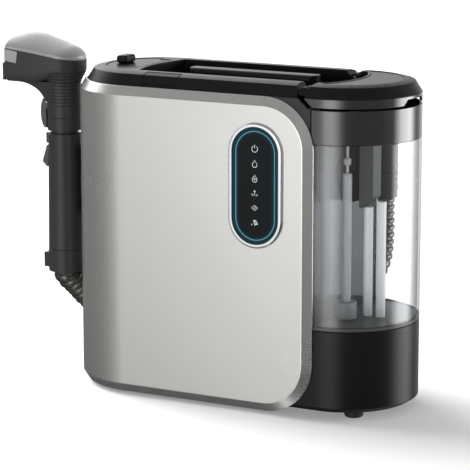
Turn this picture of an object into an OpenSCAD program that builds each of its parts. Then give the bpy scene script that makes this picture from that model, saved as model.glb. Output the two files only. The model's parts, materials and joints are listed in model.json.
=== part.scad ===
// Steam spot cleaner: silver shells on a black body, clear dirty water tank, corded handset on its dock.
// Millimetres, +Z up, front towards -Y, handset at -X.

/* [Body] */
// Length of the black outline shared by deck, tank and base
body_len = 344; // [335:1:370]
// Width of the black outline
body_w = 140; // [136:1:150]
// Height of the silver shells' top edge above the table
shell_top = 303; // [296:1:312]
// Height of the silver shells' lower edge above the table
shell_low = 3; // [2:0.5:5]
// How far the silver shells stand proud of the black outline
shell_proud = 7.5; // [6.5:0.5:9]
// Straight band at the edge of the silver shells
shell_land = 2; // [1.5:0.5:3]
// Width of the bevel round the silver shells
shell_bevel = 8.5; // [7:0.5:10]
// Corner radius of the silver shells beside the tank
shell_corner = 49.5; // [42:0.5:54]
// Wall of the silver shells
shell_wall = 2.5; // [2:0.1:3]
// Wall of the black mouldings
wall = 2.5; // [2:0.1:3]
// Length of tank that shows beside the silver shells
tank_show = 71; // [71:1:80]
// Gap between mouldings that are fixed together on a curve
seat = 0.3; // [0.2:0.05:0.4]
// Clearance round parts that move
fit = 0.4; // [0.3:0.05:0.5]
// Radial clearance of a pin in its bore
pin_fit = 0.05; // [0.03:0.01:0.08]

/* [Base] */
// Height of the tray's underside above the table
foot_h = 7; // [6:0.5:9]
// Diameter of a rubber foot
foot_d = 18; // [14:1:22]
// Depth of the foot's seat in the tray
foot_seat = 1; // [0.5:0.25:1.5]
// How far the tray's lower edge slopes in
slope_in = 8; // [6:0.5:10]
// Height of the tray's sloped lower edge
slope_h = 5; // [4:0.5:7]
// Height of the tray wall's top above the table
tray_top = 24; // [22:1:30]
// Height of the ribs that carry the inner units
rib_top = 20; // [18:0.5:24]
// Height of the tank platform above the table
plat_top = 86; // [80:1:92]

/* [Deck] */
// Height of the top deck
deck_h = 12.5; // [11.5:0.5:14]
// How far the deck's side slopes in
deck_in = 6.5; // [5:0.5:8]
// Height of the deck's sloped side
deck_side_h = 10.5; // [9:0.5:11]
// Width of the deck's crowned rim
deck_rim = 8; // [6:0.5:9]
// Width of the handle recess
recess_w = 92; // [88:1:94]
// Depth of the handle recess below the deck's underside
recess_deep = 31; // [26:1:34]
// Corner radius of the handle recess
recess_r = 10; // [6:1:14]
// Width of the carry handle
handle_w = 20; // [18:0.5:24]
// Thickness of the carry handle
handle_t = 12; // [10:0.5:14]
// Length of a side latch
latch_l = 36.5; // [32:0.5:40]
// Depth of a side latch
latch_w = 14; // [12:0.5:15]
// Travel of a side latch
latch_travel = 2; // [1:0.5:2.5]
// Diameter of the filler opening
filler_d = 40; // [34:1:44]
// Thickness of the filler flap
flap_t = 4; // [3.5:0.5:4.5]
// Height of the raised tab on the filler flap
tab_h = 8; // [6:0.5:9]

/* [Tank] */
// Height of the clear tank's top edge above the table
clear_top = 261; // [250:1:268]
// Wall of the clear tank
tank_wall = 2.5; // [2:0.1:3]
// Thickness of the lid's floor
lid_floor = 4.5; // [4:0.5:5]
// Depth of the lid's skirt
skirt_h = 8; // [7:0.5:9]
// Diameter of the stand pipes and the float guide
pipe_d = 9; // [7:0.5:10]
// Diameter of the float
float_d = 20; // [16:0.5:21]
// Height of the float
float_h = 16; // [12:1:20]
// Diameter of the air port between tank and body
port_d = 24; // [20:1:26]

/* [Controls] */
// Width of the control glass
glass_w = 48; // [44:1:50]
// Height of the control glass
glass_h = 110; // [104:1:114]
// Width of the raised bezel round the glass
bezel_w = 4.2; // [3.5:0.1:5]
// How far the bezel stands out from the silver shell
bezel_out = 3; // [2:0.5:4]
// Distance of the light ring from the edge of the glass
ring_in = 4.5; // [3.5:0.5:6]
// Width of the light ring
ring_w = 1.4; // [1:0.1:2]

/* [Handset] */
// Distance of the handset's axis from the silver shells' end
dock_reach = 32.5; // [31:0.5:36]
// Radius of the grip at its lower end
grip_r_low = 17.6; // [17:0.1:18]
// Radius of the grip at its upper end
grip_r_top = 16.4; // [16:0.1:17]
// Height of the grip's lower end
grip_low = 122; // [118:1:126]
// Height of the grip's upper end
grip_top = 240; // [236:1:242]
// Bore radius of the grip
grip_bore = 13.8; // [13:0.1:14]
// Length of the head from the handset's axis to the mouth
head_len = 53; // [50:1:58]
// Half width of the head at the mouth
mouth_half = 27; // [26:0.5:29]
// Radius of the head's round back
head_back = 23; // [22:0.5:24]
// Height of the head's parting line on the handset's axis
head_z = 317.5; // [315:0.5:320]
// Tilt of the head
head_tilt = 8; // [6:0.5:10]
// Height of the head cover's crown above its edge
cover_h = 17.5; // [16:0.5:19]
// Diameter of the trigger pins
trigger_pin_d = 3; // [2.5:0.1:3.5]

/* [Hose] */
// Outer diameter of the ribs
hose_d = 28; // [26:0.5:29]
// Diameter between the ribs
hose_neck_d = 24; // [22:0.5:25]
// Bore of the hose
hose_bore = 19; // [16:0.5:20]
// Number of ribs
ribs = 180; // [120:1:200]
// Tilt of the hose as it leaves the handset
hose_tilt = 40; // [38:0.5:42]
// Turn of the hose to the rear as it leaves the handset
hose_turn = 67; // [65:0.5:69]

/* [Hidden] */
$fn = 72;
far = 600;
eps = 0.02;

// Outline and levels
R = body_w / 2;
end_x = body_len / 2 - R;
face_r = R + shell_proud;
shell_right = body_len / 2 - tank_show;
shell_left = -body_len / 2 - shell_proud;
corner_x = shell_right - shell_corner;
deck_top = shell_top + deck_h;
bulk_set = 4;
bulk_x = shell_right - bulk_set;
plat_x = corner_x - bulk_set;
floor_z = foot_h + wall;

// Deck
hinge_x = shell_right - 14.5;
hinge_z = shell_top + 6;
knuckle_r = 3.6;
hinge_pin_d = 3;
hinge_gap = 3.9;
gap_slope = 3.6;
recess_left = -end_x - 3;
recess_bow = 150;
recess_arc = 84;
recess_right = bulk_x - wall - 3;
lid_wall_x = shell_right + 13;
recess_floor = shell_top - recess_deep;
latch_x0 = -82.7;
latch_floor = 2;
flap_r = R - deck_in - deck_rim - 4.5;
flap_hinge_x = -end_x - 9;
flap_hinge_z = deck_top - 3.1;
flap_barrel_r = 2.8;
flap_barrel_half = 36;
flap_pin_d = 2.6;
flap_ear = 12;
ear_gap = 1;
flap_drop = 0.6;
filler_x = -end_x - 29;
tab_x = -end_x - 37.5;
tab_size = [12, 20];
handle_left = -66;
handle_right = 72;
handle_corner = 4.5;
leg_l = 20;
leg_x = [-54, 62];

// Tank
tank_gap = 0.8;
tank_left = bulk_x + tank_gap;
tank_floor = plat_top + fit;
panel_r = flap_r + 1.5;
panel_t = 4;
panel_drop = 0.6;
skirt_low = shell_top - skirt_h;
collar_top = skirt_low - 2;
notch_half = [21, 15.5];
notch_h = 5.5;
bridge_low = clear_top + 1;
bridge_t = 3;
bridge_half = 26;
guide_x = tank_left + tank_wall + float_d / 2 + 1.2;
guide_y = -20;
guide_top = 228;
block_size = [15, 28];
block_x = tank_left + tank_wall + 1.2;
block_low = 200;
duct_x = block_x + block_size[0] + 2;
duct_size = [14.5, 18];
duct_low = 194;
pipe_1_x = duct_x + 6;
pipe_2_x = duct_x + duct_size[0] + pipe_d / 2 + 0.5;
pipe_2_top = 200;
pipe_wall = 1.2;
port_z = 225;

// Controls
glass_x = corner_x - 6.5;
glass_z = 219.6;
glass_half = (glass_h - glass_w) / 2;
glass_r = glass_w / 2;
bezel_neck = 1;
bezel_chamfer = 1.4;
glass_out = 1.8;
board_margin = 4;

// Rear
hose_y = face_r + 17.5;
hose_x = bulk_x - 3;
cuff_low = 186;
socket_low = 257;
socket_top = 289;
socket_r = 17;
socket_arm = 22;
socket_arm_z = [socket_low + 4, socket_top - 6];
socket_cap = 4;
socket_deep = 18;
hose_fit = 0.8;
cuff_r = hose_d / 2 + 2.4;
cuff_seat = 14;
grille = [60, 44];
grille_x = 30;
grille_z = 44;
slots = 7;
gland_x = -40;
gland_z = 30;
gland_d = 15;
gland_neck_d = 11;
gland_bore = 7;
hook_left = [-86, 134];
hook_left_bend = 46;
hook_right = [-20, 216];
hook_right_bend = 36;
hook_t = 4;
hook_lip = 8;
hook_lip_t = 2;
hook_gap = 1.2;

// Handset
hand_x = shell_left - dock_reach;
collar_r = grip_r_low + 0.2;
collar_low = grip_low - 23;
stop_x = [-21, -8];
stop_half = 9;
stop_z = [grip_low - 20, grip_low - 5];
hose_seat_z = grip_low - 14;
sleeve_r = hose_d / 2 + 3.4;
sleeve_len = 23;
sleeve_seat = 4;
collar_spigot = 10;
neck_r = 17;
neck_low = grip_top + 3;
neck_groove = [13, 0.9];
groove_deep = 0.6;
flare_low = head_z - 28;
flare_top = head_z - 11.5;
flare_steps = 8;
neck_ribs = 11;
rib_low = neck_low + 25;
rib_pitch = 3.3;
rib_w = 1.4;
rib_out = 0.5;
rib_front = -4;
neck_bore = 14;
neck_bore_top = head_z - 27.5;
spigot_r = grip_bore - seat;
spigot_low = grip_top - 8;
tongue_t = 4;
tongue_half = 7;
tongue_low = 186;
tongue_top = 222;
tongue_x = shell_left - 12;
dock_t = 4;
dock_half = 18;
dock_y = 13;
dock_low = 160;
dock_top = 232;
saddle_h = 12;
saddle_half = 23;
saddle_start = 3;
saddle_gap = 0.8;
hanger_low = 196;
hanger_wall = 2.4;
hanger_top = 226;
trigger_half = 8;
button_half = 6;
spray_half = 7;
button_z = [grip_top - 11, grip_top - 0.4];
button_out = 2;
spray_slot = [grip_top - 36, button_z[0] - 2 * fit];
steam_slot_x = -10.2;
steam_slot_top = neck_low + 33.5;
steam_pivot = [hand_x - 14.5, neck_low + 28.5];
spray_pivot = [hand_x - 12.5, grip_top - 15.5];
pin_seat = 2;
pin_end = 0.2;
window_back = 38;
lip_t = 3;
lip_rim = 4;
mouth_gap = [44, 9];
mouth_low = -28;
mouth_deep = 27;
jaw_r = 9;
jaw_top = head_z + 18.5;
jaw_back = -20;
jaw_low = head_z - 26.5;
fillet_half = [12, 17];
fillet_low = neck_low + 29;
nose_edge_r = 3;
nose_ball = [7, -46, 18, 10];
brow_ball = [9, -44.5, 6, 13.5];
crown_ball = [12, -35, 9, cover_h];
mid_ball = [14, -12, 0, cover_h - 1.5];
crown_disc = [12, cover_h - 5.2];
window_z = [-12.5, -0.8];

// Inner units
motor_x = 20;
motor_r = 42;
motor_top = 84;
fan_r = 58;
fan_top = 124;
shaft_d = 8;
rotor_r = 50;
rotor_low = 91;
rotor_top = 115;
blades = 9;
clean_right = -62;
clean_gap = 4;
clean_top = recess_floor - wall - 7.5;
neck_wall = 3;
pump_x = -37;
pump_y = -46;
boiler_x = -38;
boiler_y = 34;
boiler_r = 20;
boiler_top = 78;
line_d = 8;
line_z = 42;
line_drop = 10;
pump_size = [26, 28, 34];
pump_head = [11, 16];
boiler_band = [24, 4, 3];
boiler_dome = 8;

// Whole part: origin under the middle of the box round everything but the hose
x_min = hand_x - head_len - lip_t;
x_max = body_len / 2;
y_min = -face_r - bezel_out;
y_max = hose_y + max(socket_r, hose_d / 2 + hook_gap + hook_lip_t);
shift = [-(x_min + x_max) / 2, -(y_min + y_max) / 2, 0];

module place() {
    translate(shift) children();
}

// Outline helpers
module stadium_2d(r) {
    square([2 * end_x, 2 * r], center = true);
    for (s = [-1, 1]) translate([s * end_x, 0]) circle(r = r);
}

module stadium(r, z0, z1) {
    translate([0, 0, z0]) linear_extrude(z1 - z0) stadium_2d(r);
}

// Profile of [radius, height] points from the middle plane, swept round the outline
module stadium_profile(pts) {
    for (s = [-1, 1]) translate([s * end_x, 0, 0]) rotate_extrude() polygon(pts);
    translate([-end_x, 0, 0]) rotate([90, 0, 90]) linear_extrude(2 * end_x) {
        polygon(pts);
        mirror([1, 0]) polygon(pts);
    }
}

module keep_x(x0, x1) {
    intersection() {
        children();
        translate([x0, -far, -far]) cube([x1 - x0, 2 * far, 2 * far]);
    }
}

module box(x, y, z) {
    translate([x[0], y[0], z[0]]) cube([x[1] - x[0], y[1] - y[0], z[1] - z[0]]);
}

module y_cylinder(x, z, r, y0, y1) {
    translate([x, y1, z]) rotate([90, 0, 0]) cylinder(r = r, h = y1 - y0);
}

module x_cylinder(x0, x1, y, z, r) {
    translate([x0, y, z]) rotate([0, 90, 0]) cylinder(r = r, h = x1 - x0);
}

// Prism of an outline in the X-Z plane, from y0 to y1
module side_prism(y0, y1) {
    translate([0, y1, 0]) rotate([90, 0, 0]) linear_extrude(y1 - y0) children();
}

module round_rect(x, y, r) {
    square_x = [x[0] + r, x[1] - r];
    square_y = [y[0] + r, y[1] - r];
    translate([x[0], square_y[0]]) square([x[1] - x[0], square_y[1] - square_y[0]]);
    translate([square_x[0], y[0]]) square([square_x[1] - square_x[0], y[1] - y[0]]);
    for (cx = square_x) for (cy = square_y) translate([cx, cy]) circle(r = r);
}

// Upright pill of half straight length half, laid in the X-Z plane and pushed from y0 to y1
module pill(r, half, y0, y1) {
    translate([glass_x, y1, glass_z]) rotate([90, 0, 0]) linear_extrude(y1 - y0) {
        square([2 * r, 2 * half], center = true);
        for (s = [-1, 1]) translate([0, s * half]) circle(r = r);
    }
}

// Profile of [radius, outward] points swept round the control pill, outward along -Y from the shell's face
module pill_profile(pts) {
    translate([glass_x, -face_r, glass_z]) rotate([90, 0, 0]) {
        for (s = [0, 180]) rotate([0, 0, s]) {
            translate([0, glass_half, 0]) rotate_extrude(angle = 180) polygon(pts);
            translate([0, glass_half, 0]) rotate([90, 0, 0]) linear_extrude(2 * glass_half) polygon(pts);
        }
    }
}

// Base
foot_x = [-end_x - 16, end_x + 28];
foot_y = 40;
feet = [for (x = foot_x) for (y = [-1, 1]) [x, y * foot_y]];
foot_edge = 1.5;
tray_rib_x = [clean_right - 80, bulk_x - 24];
tray_rib_y = 45;
tray_rib_t = 4;
screw_x = [clean_right + 2, bulk_x - 25];
screw_y = 30;
screw_d = 8;
screw_h = 2;
screw_socket = [3.4, 1.2];

module base_tray() color("#1b1b1d") place() {
    difference() {
        union() {
            stadium_profile([[0, foot_h], [R - slope_in, foot_h], [R, foot_h + slope_h], [R, tray_top],
                [0, tray_top]]);
            keep_x(plat_x, far) stadium(R, tray_top, plat_top);
        }
        stadium_profile([[0, floor_z], [R - slope_in, floor_z], [R - wall, floor_z + slope_h],
            [R - wall, tray_top + eps], [0, tray_top + eps]]);
        keep_x(plat_x - eps, bulk_x) stadium(R - wall, tray_top, plat_top + eps);
        keep_x(bulk_x - eps, far) stadium(R - wall, tray_top, plat_top - wall);
        for (p = feet) translate([p[0], p[1], foot_h - eps]) cylinder(d = foot_d, h = foot_seat + eps);
        gland_cut();
        grille_cut(R - wall - eps);
    }
    for (s = [-1, 0, 1]) box(tray_rib_x, [s * tray_rib_y - tray_rib_t / 2, s * tray_rib_y + tray_rib_t / 2],
        [floor_z, rib_top]);
}

module rubber_feet() color("#111111") place() {
    for (p = feet) translate([p[0], p[1], 0]) {
        translate([0, 0, foot_edge]) cylinder(d = foot_d, h = foot_h + foot_seat - foot_edge);
        cylinder(d1 = foot_d - 2 * foot_edge, d2 = foot_d, h = foot_edge);
    }
}

module base_screws() color("#9a9a9a") place() {
    for (x = screw_x) for (s = [-1, 1]) translate([x, s * screw_y, foot_h - screw_h]) difference() {
        cylinder(d = screw_d, h = screw_h);
        translate([0, 0, -eps]) cylinder(d = screw_socket[0], h = screw_socket[1], $fn = 6);
    }
}

// Exhaust opening from y0 to the rear
module grille_cut(y0) {
    box([grille_x - grille[0] / 2, grille_x + grille[0] / 2], [y0, far],
        [grille_z - grille[1] / 2, grille_z + grille[1] / 2]);
}

// Hole for the mains lead in the black walls
module gland_cut() {
    y_cylinder(gland_x, gland_z, gland_bore / 2, R - wall - eps, R + eps);
}

// Core
module skirt_cut() {
    side_prism(-far, far) polygon([[hinge_x - 1.6, shell_top + eps], [hinge_x - 1.6, shell_top - 1],
        [hinge_x + skirt_h - 0.6, skirt_low - 1], [far, skirt_low - 1], [far, shell_top + eps]]);
}

module core_frame() color("#161617") place() {
    difference() {
        union() {
            keep_x(-far, bulk_x) difference() {
                stadium(R, tray_top, shell_top);
                stadium(R - wall, tray_top - eps, shell_top + eps);
            }
            box([bulk_x - wall, bulk_x], [-R + wall / 2, R - wall / 2], [plat_top, shell_top - 1]);
        }
        box([plat_x, far], [-far, far], [-far, plat_top]);
        difference() {
            skirt_cut();
            box([-far, far], [-R + wall, R - wall], [-far, far]);
        }
        box([bulk_x - wall - eps, far], [-far, far], [skirt_low - 1, far]);
        pill(glass_r - 5, glass_half, -far, -R + wall + eps);
        x_cylinder(bulk_x - wall - eps, far, 0, port_z, port_d / 2);
        grille_cut(R - wall - eps);
        gland_cut();
    }
}

// Silver shells. Insets are [edge inset, outward] at the start and end of the bevel.
module panel_solid(a, b) {
    low = shell_low;
    prof = [[0, low + a[0]], [R + a[1], low + a[0]], [R + b[1], low + b[0]], [R + b[1], shell_top - b[0]],
        [R + a[1], shell_top - a[0]], [0, shell_top - a[0]]];
    translate([-end_x, 0, 0]) rotate([0, 0, 180]) rotate_extrude(angle = 90) polygon(prof);
    mirror([0, 1, 0]) translate([-end_x, 0, 0]) rotate([90, 0, 90])
        linear_extrude(corner_x + end_x) polygon(prof);
    translate([0, 0, low + shell_corner]) linear_extrude(shell_top - low - 2 * shell_corner)
        polygon([[corner_x, 0], [shell_right - a[0], 0], [shell_right - a[0], -R - a[1]],
            [shell_right - b[0], -R - b[1]], [corner_x, -R - b[1]]]);
    for (z = [low + shell_corner, shell_top - shell_corner]) translate([corner_x, 0, z]) rotate([90, 0, 0]) {
        cylinder(r = shell_corner - a[0], h = R + a[1]);
        translate([0, 0, R + a[1]])
            cylinder(r1 = shell_corner - a[0], r2 = shell_corner - b[0], h = b[1] - a[1]);
    }
}

// The bevel offset inwards by the wall meets the core at one inset and the cavity's face at another
bevel_run = shell_proud - shell_land;
bevel_len = sqrt(bevel_run * bevel_run + shell_bevel * shell_bevel);
bevel_shift = shell_wall * bevel_len / bevel_run;

function bevel_inset(out) = (out - shell_land) * shell_bevel / bevel_run + bevel_shift;

module bare_shell() {
    difference() {
        panel_solid([0, shell_land], [shell_bevel, shell_proud]);
        stadium(R + seat, -far, far);
        panel_solid([bevel_inset(seat), seat], [bevel_inset(shell_proud - shell_wall), shell_proud - shell_wall]);
    }
}

module front_shell() color("#b4b6b8") place() {
    difference() {
        bare_shell();
        pill(glass_r + bezel_neck + 2 * seat, glass_half, -far, -R);
    }
}

module rear_shell() color("#b4b6b8") place() {
    difference() {
        mirror([0, 1, 0]) bare_shell();
        grille_cut(R);
        y_cylinder(gland_x, gland_z, gland_neck_d / 2 + seat, R, far);
        box([bulk_x - socket_arm - seat, far], [R, far], [socket_arm_z[0] - seat, socket_arm_z[1] + seat]);
    }
}

module vent_grille() color("#19191b") place() {
    pitch = grille[0] / slots;
    difference() {
        box([grille_x - grille[0] / 2 + seat, grille_x + grille[0] / 2 - seat], [face_r - shell_wall, face_r],
            [grille_z - grille[1] / 2 + seat, grille_z + grille[1] / 2 - seat]);
        for (i = [0 : slots - 1]) translate([grille_x + (i - (slots - 1) / 2) * pitch, face_r + eps, grille_z])
            rotate([90, 0, 0]) linear_extrude(shell_wall + 2 * eps) {
                square([pitch * 0.5, grille[1] - 16], center = true);
                for (s = [-1, 1]) translate([0, s * (grille[1] / 2 - 8)]) circle(d = pitch * 0.5);
            }
    }
}

module cable_gland() color("#151516") place() {
    difference() {
        union() {
            y_cylinder(gland_x, gland_z, gland_neck_d / 2, face_r - shell_wall, face_r);
            translate([gland_x, face_r, gland_z]) rotate([-90, 0, 0])
                cylinder(d1 = gland_d, d2 = gland_neck_d, h = 9);
        }
        y_cylinder(gland_x, gland_z, gland_bore / 2, face_r - shell_wall - eps, face_r + 9 + eps);
    }
}

// Deck
deck_pts = [[0, shell_top], [R, shell_top], [R - deck_in, shell_top + deck_side_h],
    [R - deck_in - deck_rim, deck_top], [0, deck_top]];

module hinge_v(s) {
    side_prism(-far, far) polygon([[hinge_x + s * hinge_gap, shell_top - skirt_h - far],
        [hinge_x + s * hinge_gap, hinge_z], [hinge_x + s * (hinge_gap + gap_slope), deck_top + eps],
        [hinge_x + s * (hinge_gap + gap_slope), far], [hinge_x - s * far, far],
        [hinge_x - s * far, shell_top - skirt_h - far]]);
}

module latch_pocket(gap, deep) {
    box([latch_x0 - gap, latch_x0 + latch_l + gap], [-far, -R + latch_w + deep],
        [shell_top + latch_floor + fit - gap, far]);
}

module flap_outline(grow, ear) {
    difference() {
        intersection() {
            translate([-end_x, 0]) circle(r = flap_r + grow);
            translate([-far, -far]) square([far + flap_hinge_x, 2 * far]);
        }
        for (s = [-1, 1]) translate([flap_hinge_x, s * (flap_barrel_half + far + grow)])
            square([2 * ear, 2 * far], center = true);
    }
}

module hinge_lugs(y0, y1, s) {
    for (m = [0, 1]) mirror([0, m, 0]) {
        y_cylinder(hinge_x, hinge_z, knuckle_r, y0, y1);
        box([hinge_x - (s < 0 ? hinge_gap + gap_slope : 0), hinge_x + (s > 0 ? hinge_gap + gap_slope : 0)],
            [y0, y1], [hinge_z - knuckle_r, hinge_z]);
    }
}

lug_y = recess_w / 2 + 1.5;
lug_w = 6;
lug_end = lug_y + 2 * lug_w + fit;

// Plan of the handle recess in the deck, with a bowed left end
module recess_2d(grow) {
    half = recess_w / 2 + grow;
    intersection() {
        round_rect([recess_left - grow, recess_right + grow], [-half, half], recess_r + grow);
        translate([recess_left + recess_bow, 0]) circle(r = recess_bow + grow);
    }
}

module top_deck() color("#202022") place() {
    difference() {
        union() {
            difference() {
                stadium_profile(deck_pts);
                hinge_v(-1);
            }
            translate([0, 0, recess_floor - wall]) linear_extrude(shell_top - recess_floor + wall)
                recess_2d(wall);
            hinge_lugs(lug_y, lug_y + lug_w, -1);
        }
        translate([0, 0, recess_floor]) linear_extrude(far) recess_2d(0);
        box([0, far], [-recess_w / 2, recess_w / 2], [shell_top, far]);
        for (m = [0, 1]) mirror([0, m, 0]) latch_pocket(fit, fit + latch_travel);
        y_cylinder(hinge_x, hinge_z, hinge_pin_d / 2 + pin_fit, -far, far);
        translate([0, 0, deck_top - flap_drop - flap_t - fit]) linear_extrude(far)
            flap_outline(fit, flap_ear - ear_gap);
        box([flap_hinge_x - flap_barrel_r - fit, flap_hinge_x + flap_barrel_r + fit],
            [-flap_barrel_half - fit, flap_barrel_half + fit], [flap_hinge_z - flap_barrel_r - fit, far]);
        y_cylinder(flap_hinge_x, flap_hinge_z, flap_pin_d / 2 + pin_fit, -flap_barrel_half - 6,
            flap_barrel_half + 6);
        translate([filler_x, 0, shell_top - eps]) cylinder(d = filler_d, h = far);
    }
}

module lid_pins() color("#8f9194") place() {
    for (m = [0, 1]) mirror([0, m, 0]) y_cylinder(hinge_x, hinge_z, hinge_pin_d / 2, lug_y, lug_end);
}

module flap_pin() color("#8f9194") place() {
    y_cylinder(flap_hinge_x, flap_hinge_z, flap_pin_d / 2, -flap_barrel_half - 5.8, flap_barrel_half + 5.8);
}

module filler_flap() color("#2b2b2d") place() {
    difference() {
        union() {
            translate([0, 0, deck_top - flap_drop - flap_t]) linear_extrude(flap_t) flap_outline(0, flap_ear);
            y_cylinder(flap_hinge_x, flap_hinge_z, flap_barrel_r, -flap_barrel_half, flap_barrel_half);
        }
        y_cylinder(flap_hinge_x, flap_hinge_z, flap_pin_d / 2 + pin_fit, -far, far);
    }
}

module flap_tab() color("#101011") place() {
    translate([tab_x, 0, deck_top - flap_drop]) linear_extrude(tab_h)
        round_rect([-tab_size[0] / 2, tab_size[0] / 2], [-tab_size[1] / 2, tab_size[1] / 2], 3);
}

module latch() {
    intersection() {
        difference() {
            stadium_profile(deck_pts);
            box([-far, far], [-R + latch_w, far], [-far, far]);
        }
        latch_pocket(0, 0);
    }
}

module front_latch() color("#262628") place() latch();

module rear_latch() color("#262628") place() mirror([0, 1, 0]) latch();

module carry_handle() color("#232325") place() {
    bar_low = deck_top - handle_t;
    half = handle_w / 2;
    intersection() {
        translate([handle_left, 0, 0]) rotate([90, 0, 90]) linear_extrude(handle_right - handle_left)
            round_rect([-half, half], [bar_low, deck_top], handle_corner);
        translate([0, 0, bar_low]) linear_extrude(handle_t)
            round_rect([handle_left, handle_right], [-half, half], half - eps);
    }
    for (x = leg_x) translate([0, 0, recess_floor]) linear_extrude(bar_low + 1 - recess_floor)
        round_rect([x - leg_l / 2, x + leg_l / 2], [-half + 2, half - 2], 5);
}

module handle_screws() color("#8f9194") place() {
    for (x = leg_x) for (s = [-1, 1]) translate([x + s * 5, 0, recess_floor - wall - 2.2]) difference() {
        cylinder(d = 7, h = 2.2);
        translate([0, 0, -eps]) cylinder(d = 3.2, h = 1.2, $fn = 6);
    }
}

// Controls
module control_bezel() color("#d9dbdd") place() {
    inner = glass_r + seat;
    outer = glass_r + bezel_w;
    pill_profile([[inner, -shell_wall], [inner + bezel_neck, -shell_wall], [inner + bezel_neck, 0], [outer, 0],
        [outer, bezel_out - bezel_chamfer], [outer - bezel_chamfer, bezel_out], [inner, bezel_out]]);
}

module control_glass() color("#0b0c0e") place() {
    ring_r = glass_r - ring_in;
    difference() {
        pill(glass_r, glass_half, -face_r - glass_out, -face_r + shell_wall);
        difference() {
            pill(ring_r, glass_half, -face_r - glass_out - eps, -face_r - glass_out + 1);
            pill(ring_r - ring_w, glass_half, -face_r - far, -face_r + far);
        }
    }
}

module light_ring() color("#53c6d8") place() {
    ring_r = glass_r - ring_in;
    difference() {
        pill(ring_r, glass_half, -face_r - glass_out, -face_r - glass_out + 1);
        pill(ring_r - ring_w, glass_half, -face_r - far, -face_r + far);
    }
}

module control_board() color("#2f5d3a") place() {
    half_w = glass_r + board_margin;
    half_h = glass_h / 2 + board_margin;
    board_y = -R + wall + 6;
    box([glass_x - half_w, glass_x + half_w], [board_y, board_y + 1.6], [glass_z - half_h, glass_z + half_h]);
    for (x = [-1, 1]) for (z = [-1, 1])
        y_cylinder(glass_x + x * (half_w - 4), glass_z + z * (half_h - 4), 3, -R + wall, board_y);
}

// Inner units
module clean_tank() color("#d6dde0") place() {
    r = R - wall - clean_gap;
    difference() {
        union() {
            keep_x(-far, clean_right) stadium(r, rib_top, clean_top);
            translate([filler_x, 0, clean_top - eps]) cylinder(d = filler_d + 2 * neck_wall,
                h = shell_top - clean_top + eps);
        }
        keep_x(-far, clean_right - neck_wall) stadium(r - neck_wall, rib_top + neck_wall, clean_top - neck_wall);
        translate([filler_x, 0, clean_top - 2 * neck_wall]) cylinder(d = filler_d, h = far);
    }
}

module vacuum_motor() color("#6d7074") place() {
    translate([motor_x, 0, 0]) {
        translate([0, 0, rib_top]) cylinder(r = motor_r, h = 12);
        translate([0, 0, rib_top]) cylinder(r = motor_r - 5, h = motor_top - rib_top);
        translate([0, 0, motor_top - 8]) cylinder(r = motor_r, h = 8);
        cylinder_shaft();
    }
}

module cylinder_shaft() {
    translate([0, 0, motor_top]) cylinder(d = shaft_d + 6, h = rotor_low - motor_top - seat);
    translate([0, 0, motor_top]) cylinder(d = shaft_d, h = rotor_top + 1 - motor_top);
}

module fan_housing() color("#3a3b3e") place() {
    translate([motor_x, 0, motor_top]) difference() {
        union() {
            cylinder(r = fan_r, h = fan_top - motor_top);
            box([0, fan_r], [fan_r - 26, fan_r + 4], [0, fan_top - motor_top]);
        }
        translate([0, 0, wall]) cylinder(r = fan_r - wall, h = fan_top - motor_top - 2 * wall);
        translate([0, 0, -eps]) cylinder(d = shaft_d + 8, h = far);
        translate([0, 0, wall + eps]) cylinder(d = 44, h = far);
        box([wall, fan_r - wall], [fan_r - 30, fan_r + 4 + eps], [wall, fan_top - motor_top - wall]);
    }
}

module fan_impeller() color("#b9bcc0") place() {
    translate([motor_x, 0, 0]) difference() {
        union() {
            translate([0, 0, rotor_low]) cylinder(r = rotor_r, h = 2);
            translate([0, 0, rotor_low]) cylinder(r = 11, h = rotor_top - rotor_low);
            for (i = [0 : blades - 1]) rotate([0, 0, i * 360 / blades]) translate([10, 0, rotor_low])
                rotate([0, 0, 20]) translate([0, -0.8, 0]) cube([rotor_r - 15, 1.6, rotor_top - rotor_low - 4]);
        }
        translate([0, 0, rotor_low - eps]) cylinder(d = shaft_d + 2 * pin_fit, h = far);
    }
}

module water_pump() color("#46494d") place() {
    translate([pump_x - pump_size[0] / 2, pump_y - pump_size[1] / 2, rib_top]) cube(pump_size);
    translate([pump_x, pump_y, rib_top + pump_size[2]]) cylinder(r = pump_head[0], h = pump_head[1]);
}

module steam_boiler() color("#a5a8ab") place() {
    translate([boiler_x, boiler_y, rib_top]) {
        cylinder(r = boiler_r, h = boiler_top - rib_top - boiler_dome);
        translate([0, 0, boiler_band[0]]) cylinder(r = boiler_r + boiler_band[2], h = boiler_band[1]);
        translate([0, 0, boiler_top - rib_top - boiler_dome])
            cylinder(r1 = boiler_r, r2 = boiler_r - boiler_dome, h = boiler_dome);
    }
}

module water_lines() color("#cfd3d6") place() {
    x_cylinder(clean_right, pump_x - pump_size[0] / 2, pump_y, line_z, line_d / 2);
    y_cylinder(pump_x, line_z - line_drop, line_d / 2, pump_y + pump_size[1] / 2, boiler_y - boiler_r - seat);
}

// Dirty water tank
module tank_d(r, x0, z0, z1) {
    keep_x(x0, far) stadium(r, z0, z1);
}

module tank_shell() color([0.85, 0.88, 0.9, 0.35]) place() {
    difference() {
        tank_d(R, tank_left, tank_floor, clear_top);
        tank_d(R - tank_wall, tank_left + tank_wall, tank_floor + tank_wall, clear_top + eps);
        x_cylinder(tank_left - eps, tank_left + tank_wall + eps, 0, port_z, port_d / 2);
    }
}

module tank_collar() color("#0f0f10") place() {
    difference() {
        tank_d(R, tank_left, clear_top, collar_top);
        tank_d(R - tank_wall, tank_left + tank_wall, clear_top - eps, collar_top + eps);
    }
    box([tank_left + tank_wall - eps, pipe_2_x + 6], [-bridge_half, bridge_half],
        [bridge_low, bridge_low + bridge_t]);
}

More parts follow.
